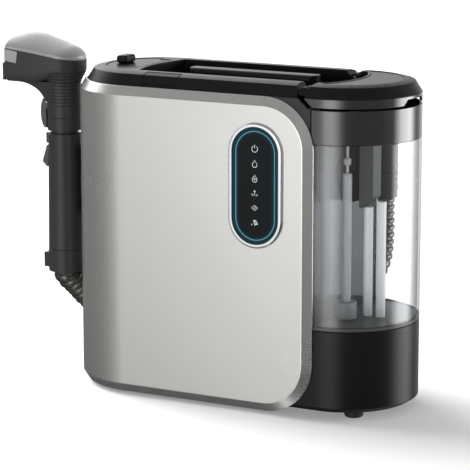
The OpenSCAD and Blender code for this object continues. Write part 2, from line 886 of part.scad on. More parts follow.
module inlet_block() color("#1d1d1f") place() {
    difference() {
        box([block_x, block_x + block_size[0]], [-block_size[1] / 2, block_size[1] / 2], [block_low, bridge_low]);
        x_cylinder(block_x - eps, block_x + block_size[0] - wall, 0, port_z, port_d / 2 - 1);
        box([block_x + wall, block_x + block_size[0] - wall], [-block_size[1] / 2 + wall, block_size[1] / 2 - wall],
            [block_low - eps, port_z]);
    }
}

module inlet_duct() color("#7f857f") place() {
    difference() {
        box([duct_x, duct_x + duct_size[0]], [-duct_size[1] / 2, duct_size[1] / 2], [duct_low, bridge_low]);
        box([duct_x + pipe_wall, duct_x + duct_size[0] - pipe_wall],
            [-duct_size[1] / 2 + pipe_wall, duct_size[1] / 2 - pipe_wall], [duct_low + 12, bridge_low - wall]);
        side_prism(-far, far) polygon([[duct_x + duct_size[0] - 10, duct_low - eps],
            [duct_x + duct_size[0] + eps, duct_low - eps], [duct_x + duct_size[0] + eps, duct_low + 10]]);
    }
}

module tube(x, y, z0, z1) {
    translate([x, y, z0]) difference() {
        cylinder(d = pipe_d, h = z1 - z0);
        translate([0, 0, -eps]) cylinder(d = pipe_d - 2 * pipe_wall, h = z1 - z0 + 2 * eps);
    }
}

module stand_pipes() color("#e8eaeb") place() {
    tube(pipe_1_x, 0, tank_floor + tank_wall, duct_low);
    tube(pipe_2_x, 0, tank_floor + tank_wall, pipe_2_top);
}

module float_guide() color("#dfe3e4") place() {
    tube(guide_x, guide_y, tank_floor + tank_wall, guide_top);
    translate([guide_x, guide_y, guide_top - 3]) cylinder(d = pipe_d, h = 3);
    translate([guide_x, guide_y, guide_top - eps]) cylinder(d = 3, h = bridge_low - guide_top + eps);
    translate([guide_x, guide_y, guide_top + 8]) cylinder(d = 7, h = 6);
}

module tank_float() color("#f0f0ee") place() {
    low = tank_floor + tank_wall + fit;
    translate([guide_x, guide_y, low]) difference() {
        cylinder(d = float_d, h = float_h);
        translate([0, 0, -eps]) cylinder(d = pipe_d + 2 * fit, h = float_h + 2 * eps);
    }
}

module tank_seal() color("#2d2d2f") place() {
    difference() {
        x_cylinder(bulk_x, bulk_x + tank_gap - fit, 0, port_z, port_d / 2 + 4);
        x_cylinder(bulk_x - eps, bulk_x + tank_gap, 0, port_z, port_d / 2);
    }
}

// Lid over the tank
lid_low = shell_top + fit;

module tank_lid() color("#202022") place() {
    difference() {
        union() {
            difference() {
                stadium_profile(deck_pts);
                hinge_v(1);
                box([-far, far], [-far, far], [-far, lid_low]);
                translate([0, 0, -far]) linear_extrude(2 * far) intersection() {
                    translate([-far, -recess_w / 2]) square([2 * far, recess_w]);
                    recess_end(0);
                }
            }
            intersection() {
                stadium_profile(deck_pts);
                hinge_lugs(lug_y + lug_w + fit, R, 1);
            }
        }
        y_cylinder(hinge_x, hinge_z, hinge_pin_d / 2 + pin_fit, -lug_end - fit, lug_end + fit);
        translate([0, 0, lid_low + lid_floor]) linear_extrude(far) panel_outline(panel_r + fit, wall);
    }
}

// Round right end of the handle recess, in the lid
module recess_end(grow) {
    translate([lid_wall_x - recess_arc, 0]) circle(r = recess_arc + grow);
}

module panel_outline(r, inset) {
    difference() {
        translate([end_x, 0]) circle(r = r);
        recess_end(inset);
    }
}

module lid_panel() color("#2b2b2d") place() {
    translate([0, 0, deck_top - panel_drop - panel_t]) linear_extrude(panel_t)
        panel_outline(panel_r, wall + fit);
}

module lid_skirt() color("#0d0d0e") place() {
    difference() {
        stadium(R, skirt_low, lid_low);
        stadium(R - tank_wall, skirt_low - eps, lid_low + eps);
        side_prism(-far, far) polygon([[-far, lid_low + eps], [hinge_x + hinge_gap, lid_low + eps],
            [hinge_x + hinge_gap, lid_low - 1], [hinge_x + hinge_gap + skirt_h, skirt_low - eps],
            [-far, skirt_low - eps]]);
        translate([end_x, 0, skirt_low]) rotate([90, 0, 90]) linear_extrude(far)
            polygon([[-notch_half[0], -eps], [notch_half[0], -eps], [notch_half[1], notch_h],
                [-notch_half[1], notch_h]]);
    }
}

// Rear fittings
module hose_socket() color("#19191b") place() {
    difference() {
        union() {
            translate([hose_x, hose_y, socket_low]) cylinder(r = socket_r, h = socket_top - socket_low - socket_cap);
            translate([hose_x, hose_y, socket_top - socket_cap])
                cylinder(r1 = socket_r, r2 = socket_r - socket_cap, h = socket_cap);
            box([bulk_x - socket_arm, bulk_x], [R, hose_y], socket_arm_z);
        }
        translate([hose_x, hose_y, socket_low - eps]) cylinder(d = hose_bore, h = socket_deep);
    }
}

module hose_cuff() color("#222224") place() {
    difference() {
        union() {
            translate([hose_x, hose_y, cuff_low]) cylinder(r = cuff_r, h = socket_low - cuff_low);
            for (i = [0 : 3]) translate([hose_x, hose_y, cuff_low + 8 + 7 * i]) cylinder(r = cuff_r + 0.8, h = 3);
        }
        translate([hose_x, hose_y, cuff_low - eps]) cylinder(r = hose_d / 2 + hose_fit, h = cuff_seat);
        translate([hose_x, hose_y, cuff_low]) cylinder(d = hose_bore, h = far);
    }
}

module hook(centre, bend, turn) {
    r = bend - hose_d / 2 - hook_gap;
    depth = hose_y + hose_d / 2 + hook_gap - face_r;
    translate([centre[0], face_r, centre[1]]) rotate([0, -turn, 0]) rotate([-90, 0, 0])
        rotate_extrude(angle = 180) polygon([[r - hook_t, 0], [r, 0], [r, depth], [r + hook_lip, depth],
            [r + hook_lip, depth + hook_lip_t], [r - hook_t, depth + hook_lip_t]]);
}

module hose_hooks() color("#1b1b1d") place() {
    hook(hook_left, hook_left_bend, -90);
    hook(hook_right, hook_right_bend, 90);
}

// Handset dock, behind the handset's middle
tongue_foot = 8;
function tongue_y(grow) = [dock_y - tongue_half - grow, dock_y + tongue_half + grow];

module handset_dock() color("#171718") place() {
    difference() {
        union() {
            box([shell_left - dock_t, shell_left + 2 * dock_t], [dock_y - dock_half, dock_y + dock_half],
                [dock_low, dock_top]);
            box([tongue_x, shell_left], tongue_y(0), [tongue_low, tongue_low + tongue_foot]);
            box([tongue_x, tongue_x + tongue_t], tongue_y(0), [tongue_low, tongue_top]);
            box([hand_x + 8, shell_left + dock_t], [saddle_start, saddle_half], [dock_low, dock_low + saddle_h]);
        }
        translate([-end_x, 0, -far]) cylinder(r = face_r + seat, h = 2 * far);
        translate([hand_x, 0, -far]) cylinder(r = collar_r + saddle_gap, h = 2 * far);
    }
}

// Handset
module pin(pivot, half, grow) {
    y_cylinder(pivot[0], pivot[1], trigger_pin_d / 2 + grow, -half - pin_seat, half + pin_seat);
}

module grip_solid(grow) {
    translate([hand_x, 0, grip_low])
        cylinder(r1 = grip_r_low + grow, r2 = grip_r_top + grow, h = grip_top - grip_low);
}

module grip_half(s) {
    difference() {
        grip_solid(0);
        box([-far, far], s < 0 ? [0, far] : [-far, 0], [-far, far]);
        translate([hand_x, 0, grip_low - eps]) cylinder(r = grip_bore, h = far);
        box([-far, hand_x], [-button_half - fit, button_half + fit], [spray_slot[1] - eps, grip_top + eps]);
        box([-far, hand_x], [-spray_half - fit, spray_half + fit], spray_slot);
        pin(spray_pivot, spray_half + pin_end, pin_fit);
    }
}

module grip_front() color("#3b3b3d") place() grip_half(-1);

module grip_rear() color("#3b3b3d") place() grip_half(1);

module along_hose() {
    translate([hand_x, 0, hose_seat_z]) rotate([0, 0, hose_turn]) rotate([0, 180 - hose_tilt, 0]) children();
}

module hose_collar() color("#2b2b2d") place() {
    difference() {
        union() {
            translate([hand_x, 0, collar_low]) cylinder(r = collar_r, h = grip_low - collar_low);
            translate([hand_x, 0, collar_low]) cylinder(r = grip_bore - seat, h = grip_low - collar_low + collar_spigot);
            translate([hand_x, 0, 0]) box(stop_x, [-stop_half, stop_half], stop_z);
            intersection() {
                along_hose() cylinder(r = sleeve_r, h = sleeve_len);
                box([-far, far], [-far, far], [collar_low, grip_low]);
            }
        }
        along_hose() translate([0, 0, sleeve_seat]) cylinder(r = hose_d / 2 + hose_fit, h = far);
        translate([hand_x, 0, hose_seat_z]) cylinder(d = hose_bore, h = far);
    }
}

module hanger() color("#2b2b2d") place() {
    x0 = tongue_x - fit;
    x1 = tongue_x + tongue_t + fit;
    difference() {
        box([hand_x + 5, x1 + hanger_wall], tongue_y(fit + hanger_wall), [hanger_low, hanger_top]);
        box([x0, x1], tongue_y(fit), [-far, tongue_top + fit]);
        grip_solid(seat);
    }
}

// Plan outline of the head: round at the back, wide at the mouth
module head_plan(grow) {
    intersection() {
        union() {
            circle(r = head_back + grow);
            polygon([[0, head_back + grow], [-head_len - 10, mouth_half + grow + 2],
                [-head_len - 10, -mouth_half - grow - 2], [0, -head_back - grow]]);
        }
        translate([-head_len - grow, -far]) square([far, 2 * far]);
    }
}

module head_prism(z0, z1, grow) {
    translate([hand_x, 0, z0]) linear_extrude(z1 - z0) head_plan(grow);
}

// Frame of the head: x towards the back, z up from the tilted parting line
module head_frame() {
    translate([hand_x, 0, head_z]) rotate([0, head_tilt, 0]) children();
}

module head_half_space(up) {
    head_frame() translate([-far, -far, up ? 0 : -2 * far]) cube([2 * far, 2 * far, 2 * far]);
}

function bezier(a, b, c, n) = [for (i = [0 : n]) let (t = i / n)
    (1 - t) * (1 - t) * a + 2 * t * (1 - t) * b + t * t * c];

fillet_line = bezier([-head_len + jaw_r, jaw_low], [-19, jaw_low - 2], [-neck_r + 2, fillet_low], 8);

// Head below its parting line: round-cornered at the mouth, round at the back, with a concave run to the neck
module jaw() {
    intersection() {
        union() {
            hull() {
                for (s = [-1, 1]) for (z = [jaw_low + jaw_r, jaw_top])
                    x_cylinder(hand_x - head_len, hand_x + jaw_back, s * (mouth_half - jaw_r), z, jaw_r, $fn = 32);
                translate([hand_x, 0, flare_top]) cylinder(r = head_back, h = jaw_top - flare_top);
            }
            intersection() {
                translate([hand_x, 0, 0]) side_prism(-far, far)
                    polygon(concat(fillet_line, [[0, fillet_low], [0, jaw_low + 1], [-head_len + jaw_r, jaw_low + 1]]));
                translate([hand_x - head_len, 0, 0]) rotate([90, 0, 90]) linear_extrude(head_len)
                    polygon([[-fillet_half[1], jaw_low + 1], [-fillet_half[0], fillet_low],
                        [fillet_half[0], fillet_low], [fillet_half[1], jaw_low + 1]]);
            }
        }
        head_half_space(false);
    }
}

// Neck: a groove, a flare up to the head's back, and grip ribs round its rear
function flare_r(z) = let (t = max(0, min(1, (z - flare_low) / (flare_top - flare_low))))
    neck_r + (head_back - neck_r) * t * t * (3 - 2 * t);

module neck() {
    groove = neck_low + neck_groove[0];
    flare = [for (i = [0 : flare_steps]) let (z = flare_low + i * (flare_top - flare_low) / flare_steps)
        [flare_r(z), z]];
    intersection() {
        translate([hand_x, 0, 0]) rotate_extrude() polygon(concat(
            [[0, neck_low], [neck_r, neck_low], [neck_r, groove], [neck_r - groove_deep, groove],
            [neck_r - groove_deep, groove + neck_groove[1]], [neck_r, groove + neck_groove[1]]], flare,
            [[head_back, jaw_top], [0, jaw_top]]));
        head_half_space(false);
    }
    keep_x(hand_x + rib_front, far) for (i = [0 : neck_ribs - 1]) translate([hand_x, 0, 0]) rotate_extrude() {
        z = rib_low + i * rib_pitch;
        polygon([[neck_bore / 2 + 1, z], [flare_r(z) + rib_out, z + rib_w / 3],
            [flare_r(z + rib_w) + rib_out, z + 2 * rib_w / 3], [neck_bore / 2 + 1, z + rib_w]]);
    }
}

module mouth_space(grow) {
    head_frame() box([-far, mouth_deep - head_len], [-mouth_gap[0] / 2 - grow, mouth_gap[0] / 2 + grow],
        [mouth_low - grow, mouth_low + mouth_gap[1] + grow]);
}

module window_zone() {
    head_frame() box([-far, -window_back], [-far, far], window_z);
}

module head_body() color("#303032") place() {
    difference() {
        union() {
            jaw();
            neck();
            translate([hand_x, 0, spigot_low]) cylinder(r = spigot_r, h = neck_low - spigot_low + eps);
        }
        window_zone();
        mouth_space(0);
        box([-far, hand_x + steam_slot_x], [-trigger_half - fit, trigger_half + fit],
            [neck_low - eps, steam_slot_top]);
        pin(steam_pivot, trigger_half + pin_end, pin_fit);
        translate([hand_x, 0, spigot_low - eps]) cylinder(d = neck_bore, h = neck_bore_top - spigot_low);
    }
}

// Pair of balls [radius, x, half distance, top] in the head's frame
module ball_pair(b) {
    for (s = [-1, 1]) translate([b[1], s * b[2], b[3] - b[0]]) sphere(r = b[0], $fn = 48);
}

// Cover: a dome from a blunt nose to the round back
module head_cover() color("#8b8d90") place() {
    nose_x = -head_len / cos(head_tilt) - 1;
    intersection() {
        head_prism(jaw_low, head_z + 2 * cover_h, 0);
        head_half_space(true);
        head_frame() hull() {
            y_cylinder(nose_x, 0, nose_edge_r, -mouth_half, mouth_half, $fn = 32);
            ball_pair(nose_ball);
            ball_pair(brow_ball);
            ball_pair(crown_ball);
            ball_pair(mid_ball);
            cylinder(r = crown_disc[0], h = crown_disc[1], $fn = 64);
            translate([0, 0, -nose_edge_r]) cylinder(r = head_back + 1, h = 2 * nose_edge_r, $fn = 64);
        }
    }
}

module nose_window() color([0.8, 0.82, 0.83, 0.8]) place() {
    intersection() {
        jaw();
        window_zone();
    }
}

module mouth_lip() color("#161617") place() {
    difference() {
        intersection() {
            head_prism(jaw_low - lip_rim, jaw_top, lip_t);
            box([hand_x - head_len - lip_t, hand_x - head_len], [-far, far], [jaw_low - lip_rim, jaw_top]);
            mouth_space(lip_rim);
        }
        mouth_space(0);
    }
}

module trigger_pins() color("#8f9194") place() {
    pin(steam_pivot, trigger_half, 0);
    pin(spray_pivot, spray_half, 0);
}

module steam_trigger() color("#4a4a4d") place() {
    difference() {
        translate([hand_x - neck_r, 0, neck_low]) side_prism(-trigger_half, trigger_half)
            polygon(concat([[5.5, 24], [5, 32]], bezier([-3, 31.5], [-6.5, 28], [-6.3, 17], 6),
                bezier([-6.3, 15], [-6, 6], [-2, 1.5], 6), [[0.5, 1.5], [0.5, 21]]));
        pin(steam_pivot, trigger_half, pin_fit);
    }
}

module lock_button() color("#1f1f21") place() {
    box([hand_x - grip_r_top - button_out, hand_x - spigot_r - button_out], [-button_half, button_half], button_z);
}

module spray_trigger() color("#4a4a4d") place() {
    difference() {
        translate([hand_x - grip_r_top, 0, grip_top]) side_prism(-spray_half, spray_half)
            polygon([[7.5, -13], [-1, -13], [-6.5, -30], [-1.5, -35], [0.8, -35], [0.8, -22], [7.5, -19]]);
        pin(spray_pivot, spray_half, pin_fit);
    }
}

// Suction hose: route from the cuff at the rear to the handset, points chosen by hand.
// Rear points are [x, z] in the hose's plane, left points [x, y, z] from the handset's axis and that plane.
exit_dir = [sin(hose_tilt) * cos(hose_turn), sin(hose_tilt) * sin(hose_turn), -cos(hose_tilt)];
rear_points = [
    [80, 102], [63, 91], [44, 88], [15, 88], [-20, 88], [-55, 88], [-84, 88], [-108, 94], [-126, 111],
    [-132, 134], [-126, 157], [-108, 174], [-86, 180], [-52, 180], [-22, 180], [5, 190], [16, 216],
    [5, 242], [-20, 252], [-60, 252], [-100, 252], [-135, 247]
];
left_points = [
    [52, -2, 228], [42, -4, 198], [38, -5, 160], [35, -6, 120], [33, -10, 84], [30, -20, 56], [24, -37, 46],
    [18, -52, 56]
];
route = [
    for (z = [cuff_low + cuff_seat, 172, 145]) [hose_x, hose_y, z], [hose_x - 3, hose_y, 122],
    for (p = rear_points) [p[0], hose_y, p[1]],
    for (p = left_points) [hand_x + p[0], hose_y + p[1], p[2]],
    for (d = [50, 28, 5.5]) [hand_x, 0, hose_seat_z] + d * exit_dir
];

function spline(a, b, c, d, t) = 0.5 * (2 * b + (c - a) * t + (2 * a - 5 * b + 4 * c - d) * t * t
    + (3 * b - a - 3 * c + d) * t * t * t);
function at(i) = route[max(0, min(len(route) - 1, i))];
fine_n = 12;
fine = [for (i = [0 : len(route) - 2]) for (k = [0 : fine_n - 1])
    spline(at(i - 1), at(i), at(i + 1), at(i + 2), k / fine_n), route[len(route) - 1]];
steps = [0, for (i = 1, s = norm(fine[1] - fine[0]); i < len(fine);
    i = i + 1, s = s + (i < len(fine) ? norm(fine[i] - fine[i - 1]) : 0)) s];
hose_len = steps[len(steps) - 1];

function find(s, lo, hi) = hi - lo < 2 ? lo : let (m = floor((lo + hi) / 2))
    steps[m] > s ? find(s, lo, m) : find(s, m, hi);
function point_at(s) = let (i = find(s, 0, len(steps) - 1), span = steps[i + 1] - steps[i])
    fine[i] + (fine[i + 1] - fine[i]) * (s - steps[i]) / span;
function unit(v) = v / norm(v);
function heading(s) = unit(point_at(min(hose_len, s + 2)) - point_at(max(0, s - 2)));

// A frame carried along the route without twist
function carry(side, dir) = unit(side - dir * (side * dir));

ring_s = [for (i = [0 : 2 * ribs]) hose_len * i / (2 * ribs)];
ring_dir = [for (s = ring_s) heading(s)];
ring_side = [for (i = 0, v = carry([0, 1, 0], ring_dir[0]); i < len(ring_s);
    i = i + 1, v = i < len(ring_s) ? carry(v, ring_dir[i]) : v) v];
sides = 8;
function ring(i, r) = [for (k = [0 : sides - 1]) let (u = ring_side[i], w = cross(ring_dir[i], u),
    a = 360 * k / sides) point_at(ring_s[i]) + r * (cos(a) * u + sin(a) * w)];

bore_step = 4;
bore_rings = [for (i = [0 : bore_step : 2 * ribs]) i];

module suction_hose() color("#8b8378") place() {
    outer_n = len(ring_s);
    inner_n = len(bore_rings);
    outer = [for (i = [0 : outer_n - 1]) each ring(i, i % 2 == 0 ? hose_neck_d / 2 : hose_d / 2)];
    inner = [for (i = bore_rings) each ring(i, hose_bore / 2)];
    base = outer_n * sides;
    next = [for (k = [0 : sides - 1]) (k + 1) % sides];
    outer_faces = [for (i = [0 : outer_n - 2]) for (k = [0 : sides - 1])
        each [[i * sides + k, (i + 1) * sides + k, (i + 1) * sides + next[k]],
            [i * sides + k, (i + 1) * sides + next[k], i * sides + next[k]]]];
    inner_faces = [for (i = [0 : inner_n - 2]) for (k = [0 : sides - 1])
        each [[base + i * sides + k, base + (i + 1) * sides + next[k], base + (i + 1) * sides + k],
            [base + i * sides + k, base + i * sides + next[k], base + (i + 1) * sides + next[k]]]];
    last_o = (outer_n - 1) * sides;
    last_i = base + (inner_n - 1) * sides;
    end_faces = [for (k = [0 : sides - 1]) each [
        [k, next[k], base + next[k]], [k, base + next[k], base + k],
        [last_o + k, last_i + next[k], last_o + next[k]], [last_o + k, last_i + k, last_i + next[k]]]];
    polyhedron(concat(outer, inner), concat(outer_faces, inner_faces, end_faces));
}

// Least gap of the hose to itself, between points more than a bend apart
probe = [for (s = [0 : 8 : hose_len]) point_at(s)];
apart = 14;
least_gap = min([for (i = [0 : len(probe) - 1 - apart]) for (k = [i + apart : len(probe) - 1])
    norm(probe[i] - probe[k])]) - hose_d;
echo(hose_len = hose_len, least_gap = least_gap);  // suction_hose

base_tray();
rubber_feet();
base_screws();
core_frame();
front_shell();
rear_shell();
top_deck();
carry_handle();
handle_screws();
control_bezel();
control_glass();
light_ring();
control_board();
vent_grille();
cable_gland();
hose_socket();
hose_cuff();
hose_hooks();
handset_dock();
suction_hose();
clean_tank();
vacuum_motor();
fan_housing();
fan_impeller();
water_pump();
steam_boiler();
water_lines();
tank_seal();
lid_pins();
flap_pin();
filler_flap();
flap_tab();
front_latch();
rear_latch();
tank_lid();
lid_skirt();
lid_panel();
tank_shell();
tank_collar();
inlet_block();
inlet_duct();
stand_pipes();
float_guide();
tank_float();
grip_front();
grip_rear();
hose_collar();
hanger();
head_body();
head_cover();
nose_window();
mouth_lip();
trigger_pins();
steam_trigger();
lock_button();
spray_trigger();
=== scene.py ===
import json
import math

import bmesh
import bpy
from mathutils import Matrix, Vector


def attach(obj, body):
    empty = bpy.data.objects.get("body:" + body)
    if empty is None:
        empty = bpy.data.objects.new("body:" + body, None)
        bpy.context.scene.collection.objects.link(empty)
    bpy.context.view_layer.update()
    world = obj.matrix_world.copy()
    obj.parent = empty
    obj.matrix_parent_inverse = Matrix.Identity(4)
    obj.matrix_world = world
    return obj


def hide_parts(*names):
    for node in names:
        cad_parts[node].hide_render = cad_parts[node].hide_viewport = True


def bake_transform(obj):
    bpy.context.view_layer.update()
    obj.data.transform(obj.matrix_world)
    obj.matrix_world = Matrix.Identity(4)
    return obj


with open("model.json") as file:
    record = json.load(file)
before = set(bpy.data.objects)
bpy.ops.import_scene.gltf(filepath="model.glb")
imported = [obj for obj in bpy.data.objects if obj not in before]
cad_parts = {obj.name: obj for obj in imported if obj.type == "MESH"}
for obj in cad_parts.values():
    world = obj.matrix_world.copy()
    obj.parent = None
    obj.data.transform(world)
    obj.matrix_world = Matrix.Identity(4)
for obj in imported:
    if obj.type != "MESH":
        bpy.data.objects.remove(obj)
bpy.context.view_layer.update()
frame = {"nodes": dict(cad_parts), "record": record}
nodes = frame["nodes"]
scene = bpy.context.scene
bodyOf = {name: body for body, names in frame["record"]["behaviour"]["bodies"].items() for name in names}
slotOf = {row["node"]: row["material_slot"] for row in frame["record"]["subparts"]}
machineShift = Vector((0.048, -0.01585, 0.0))  # from the machine's own axes to the shared frame
millimetre = 0.001
print("frame loaded with", len(nodes), "nodes")


def place(x, y, z):  # millimetres on the machine's axes to metres in the shared frame
    return Vector((x, y, z)) * millimetre + machineShift


# camera at the photo's viewing angle, angles in degrees
studioCamera = {
    "yaw": 28.0, "pitch": 11.46, "distance": 2.2844, "target": (0.0298, -0.01585, 0.1531),
    "lens": 179.6, "sensor": 36.0, "clipEnd": 200.0,
}


def makeCamera(facts):
    yaw, pitch = math.radians(facts["yaw"]), math.radians(facts["pitch"])
    away = Vector((math.sin(yaw) * math.cos(pitch), -math.cos(yaw) * math.cos(pitch), math.sin(pitch)))
    data = bpy.data.cameras.new("studioCamera")
    data.lens = facts["lens"]
    data.sensor_width = facts["sensor"]
    data.clip_end = facts["clipEnd"]
    camera = bpy.data.objects.new("studioCamera", data)
    camera.location = Vector(facts["target"]) + away * facts["distance"]
    camera.rotation_euler = (-away).to_track_quat("-Z", "Y").to_euler()
    scene.collection.objects.link(camera)
    scene.camera = camera


makeCamera(studioCamera)


# one wrapped socket: sums and products on it add Math nodes
class Wire:
    def __init__(self, paint, socket):
        self.paint = paint
        self.socket = socket

    def maths(self, operation, first, second):
        return self.paint.node("ShaderNodeMath", {"operation": operation}, {0: first, 1: second})

    def __add__(self, other):
        return self.maths("ADD", self, other)

    def __sub__(self, other):
        return self.maths("SUBTRACT", self, other)

    def __rsub__(self, other):
        return self.maths("SUBTRACT", other, self)

    def __mul__(self, other):
        return self.maths("MULTIPLY", self, other)

    def __pow__(self, other):
        return self.maths("POWER", self, other)

    def __abs__(self):
        return self.maths("ABSOLUTE", self, 0.0)

    def atLeast(self, other):
        return self.maths("MAXIMUM", self, other)

    __radd__ = __add__
    __rmul__ = __mul__


class Paint:
    def __init__(self, owner, sink="ShaderNodeOutputMaterial"):
        owner.use_nodes = True
        self.owner = owner
        self.tree = owner.node_tree
        self.tree.nodes.clear()
        self.sink = self.tree.nodes.new(sink)

    def feed(self, socket, value):
        if isinstance(value, Wire):
            self.tree.links.new(value.socket, socket)
        else:
            socket.default_value = value

    def node(self, kind, settings=None, sockets=None, output=0):
        made = self.tree.nodes.new(kind)
        for key, value in (settings or {}).items():
            if key == "stops":
                self.setStops(made.color_ramp, value)
            else:
                setattr(made, key, value)
        for key, value in (sockets or {}).items():
            self.feed(made.inputs[key], value)
        return Wire(self, made.outputs[output])

    def setStops(self, ramp, stops):  # grey stops of a colour ramp, as (position, level)
        while len(ramp.elements) < len(stops):
            ramp.elements.new(0.5)
        for element, (spot, level) in zip(ramp.elements, stops):
            element.position = spot
            element.color = (level, level, level, 1.0)

    def tint(self, share, first, second):
        return self.node("ShaderNodeMix", {"data_type": "RGBA"}, {0: share, 6: first, 7: second}, 2)

    def ramp(self, value, low, high, start=0.0, end=1.0):
        steps = {0: value, 1: low, 2: high, 3: start, 4: end}
        return self.node("ShaderNodeMapRange", {"interpolation_type": "SMOOTHSTEP"}, steps)

    def spot(self):  # Object coordinates
        return self.node("ShaderNodeTexCoord", None, None, "Object")

    def spread(self, scale, detail=2.0):  # soft noise on Object coordinates, about 0.5
        sockets = {"Vector": self.spot(), "Scale": scale, "Detail": detail}
        return self.node("ShaderNodeTexNoise", None, sockets)

    def facing(self, axis):  # how far the surface faces +X, +Y or +Z
        normal = self.node("ShaderNodeNewGeometry", None, None, "Normal")
        return self.node("ShaderNodeVectorMath", {"operation": "DOT_PRODUCT"}, {0: normal, 1: axis}, 1)

    def slant(self):  # 0 where the surface is seen square on, 1 edge on
        return self.node("ShaderNodeLayerWeight", None, {"Blend": 0.5}, "Facing")

    def along(self, axis):  # one Object coordinate, in metres
        return self.node("ShaderNodeSeparateXYZ", None, {0: self.spot()}, "XYZ".index(axis))

    def bump(self, height, distance, strength):
        sockets = {"Height": height, "Distance": distance, "Strength": strength}
        return self.node("ShaderNodeBump", None, sockets, "Normal")

    def plastic(self, **sockets):  # a Principled shader; Base_Color stands for its socket Base Color
        named = {key.replace("_", " "): value for key, value in sockets.items()}
        return self.node("ShaderNodeBsdfPrincipled", None, named)

    def finish(self, shader):
        self.tree.links.new(shader.socket, self.sink.inputs["Surface"])
        return self.owner


def newPaint(name):
    return Paint(bpy.data.materials.new(name))


def shade(colour, factor):
    return tuple(channel * factor for channel in colour[:3]) + (1.0,)


# a moulded plastic: fine spark-eroded grain, a slight unevenness of colour and gloss
mouldFacts = {
    "cloudScale": 24.0, "cloudGloss": 0.6, "fineGloss": 0.06, "coatRough": 0.08, "grainStrength": 0.6,
}


def moulding(name, colour, rough, grain=0.00002, grainScale=1500.0, uneven=0.1, coat=0.0, metallic=0.0,
             shine=0.5):
    paint = newPaint(name)
    facts = mouldFacts
    cloud = paint.spread(facts["cloudScale"], detail=3.0)
    fine = paint.spread(grainScale)
    colours = paint.tint(cloud, shade(colour, 1.0 - uneven), shade(colour, 1.0 + uneven))
    gloss = rough + (cloud - 0.5) * (facts["cloudGloss"] * uneven) + (fine - 0.5) * facts["fineGloss"]
    relief = paint.bump(fine, grain, facts["grainStrength"])
    return paint.finish(paint.plastic(Base_Color=colours, Roughness=gloss, Metallic=metallic,
                                      Specular_IOR_Level=shine, Coat_Weight=coat,
                                      Coat_Roughness=facts["coatRough"], Normal=relief))


# satin silver lacquer: metal flakes under a thin coat; a painted sheen darkens it where it is seen square
# on and lightens it edge on
lacquerFacts = {
    "flakeScale": 2600.0, "cloudScale": 9.0, "flakeShare": 0.1, "uneven": 0.01, "flakeGloss": 0.004,
    "cloudGloss": 0.015, "coat": 0.15, "coatRough": 0.25,
}


def silverLacquer(name, colour, rough, metallic, paintedSheen=0.0):
    paint = newPaint(name)
    facts = lacquerFacts
    cells = {"Vector": paint.spot(), "Scale": facts["flakeScale"]}
    flakes = paint.node("ShaderNodeTexVoronoi", {"feature": "F1"}, cells, "Color")
    spark = paint.node("ShaderNodeSeparateColor", None, {0: flakes})
    cloud = paint.spread(facts["cloudScale"], detail=3.0)
    slant = paint.slant()
    flecks = facts["flakeShare"] * spark + (1.0 - facts["flakeShare"]) * cloud
    # painted sheen and shade: the colour is darkened square on and lightened edge on, standing in for the
    # light that falls on the top
    darkest, palest = 1.0 - facts["uneven"] - paintedSheen, 1.0 + facts["uneven"] - paintedSheen
    dark = paint.tint(flecks, shade(colour, darkest), shade(colour, palest))
    colours = paint.tint(slant, dark, shade(colour, 1.0 + paintedSheen))
    gloss = rough + (spark - 0.5) * facts["flakeGloss"] + (cloud - 0.5) * facts["cloudGloss"]
    return paint.finish(paint.plastic(Base_Color=colours, Metallic=metallic, Roughness=gloss,
                                      Coat_Weight=facts["coat"], Coat_Roughness=facts["coatRough"]))


# two close tones mixed by soft noise; the gloss follows the same noise
def twoTone(paint, scale, dark, light, rough, swing):
    cloud = paint.spread(scale, detail=3.0)
    return {"Base_Color": paint.tint(cloud, dark, light), "Roughness": rough + swing * cloud}


def brightTrim():
    paint = newPaint("brightTrim")
    tones = twoTone(paint, scale=60.0, dark=(0.78, 0.79, 0.80, 1.0), light=(0.88, 0.89, 0.90, 1.0),
                    rough=0.16, swing=0.08)
    return paint.finish(paint.plastic(Metallic=1.0, **tones))


# clear moulding: little light comes back from it square on, most of it edge on; its floor may be dark
clearFacts = {
    "flowScale": 14.0, "flowGloss": 0.04, "ripple": 0.0006, "rippleStrength": 0.25, "edgePower": 3.0,
    "mirrorPower": 4.0, "floor": (0.06, 0.062, 0.066, 1.0), "floorRough": 0.25, "floorGloss": 0.1,
    "floorShine": 0.4, "floorFade": 0.001,
}


def clearMoulding(name, clear, edge, wall, least, most, rough, mirror=0.0, darkBelow=-1.0):
    paint = newPaint(name)
    facts = clearFacts
    slant = paint.slant()
    flow = paint.spread(facts["flowScale"])
    tone = paint.tint(slant ** facts["edgePower"], clear, edge)
    through = paint.node("ShaderNodeBsdfTransparent", None, {"Color": tone})
    front = paint.plastic(Base_Color=wall, Metallic=mirror, Roughness=rough + facts["flowGloss"] * flow,
                          Normal=paint.bump(flow, facts["ripple"], facts["rippleStrength"]))
    share = least + (most - least) * slant ** facts["mirrorPower"]
    body = paint.node("ShaderNodeMixShader", None, {0: share, 1: through, 2: front})
    floor = paint.plastic(Base_Color=facts["floor"], Specular_IOR_Level=facts["floorShine"],
                          Roughness=facts["floorRough"] + facts["floorGloss"] * flow)
    fade = darkBelow + facts["floorFade"]
    sunk = paint.ramp(paint.along("Z"), darkBelow, fade, start=1.0, end=0.0)
    return paint.finish(paint.node("ShaderNodeMixShader", None, {0: sunk, 1: body, 2: floor}))


def milkyPlastic():
    paint = newPaint("milkyPlastic")
    tones = twoTone(paint, scale=40.0, dark=(0.86, 0.87, 0.87, 1.0), light=(0.93, 0.94, 0.94, 1.0),
                    rough=0.25, swing=0.1)
    depth = (0.004, 0.004, 0.004)
    return paint.finish(paint.plastic(Subsurface_Weight=0.1, Subsurface_Radius=depth, **tones))


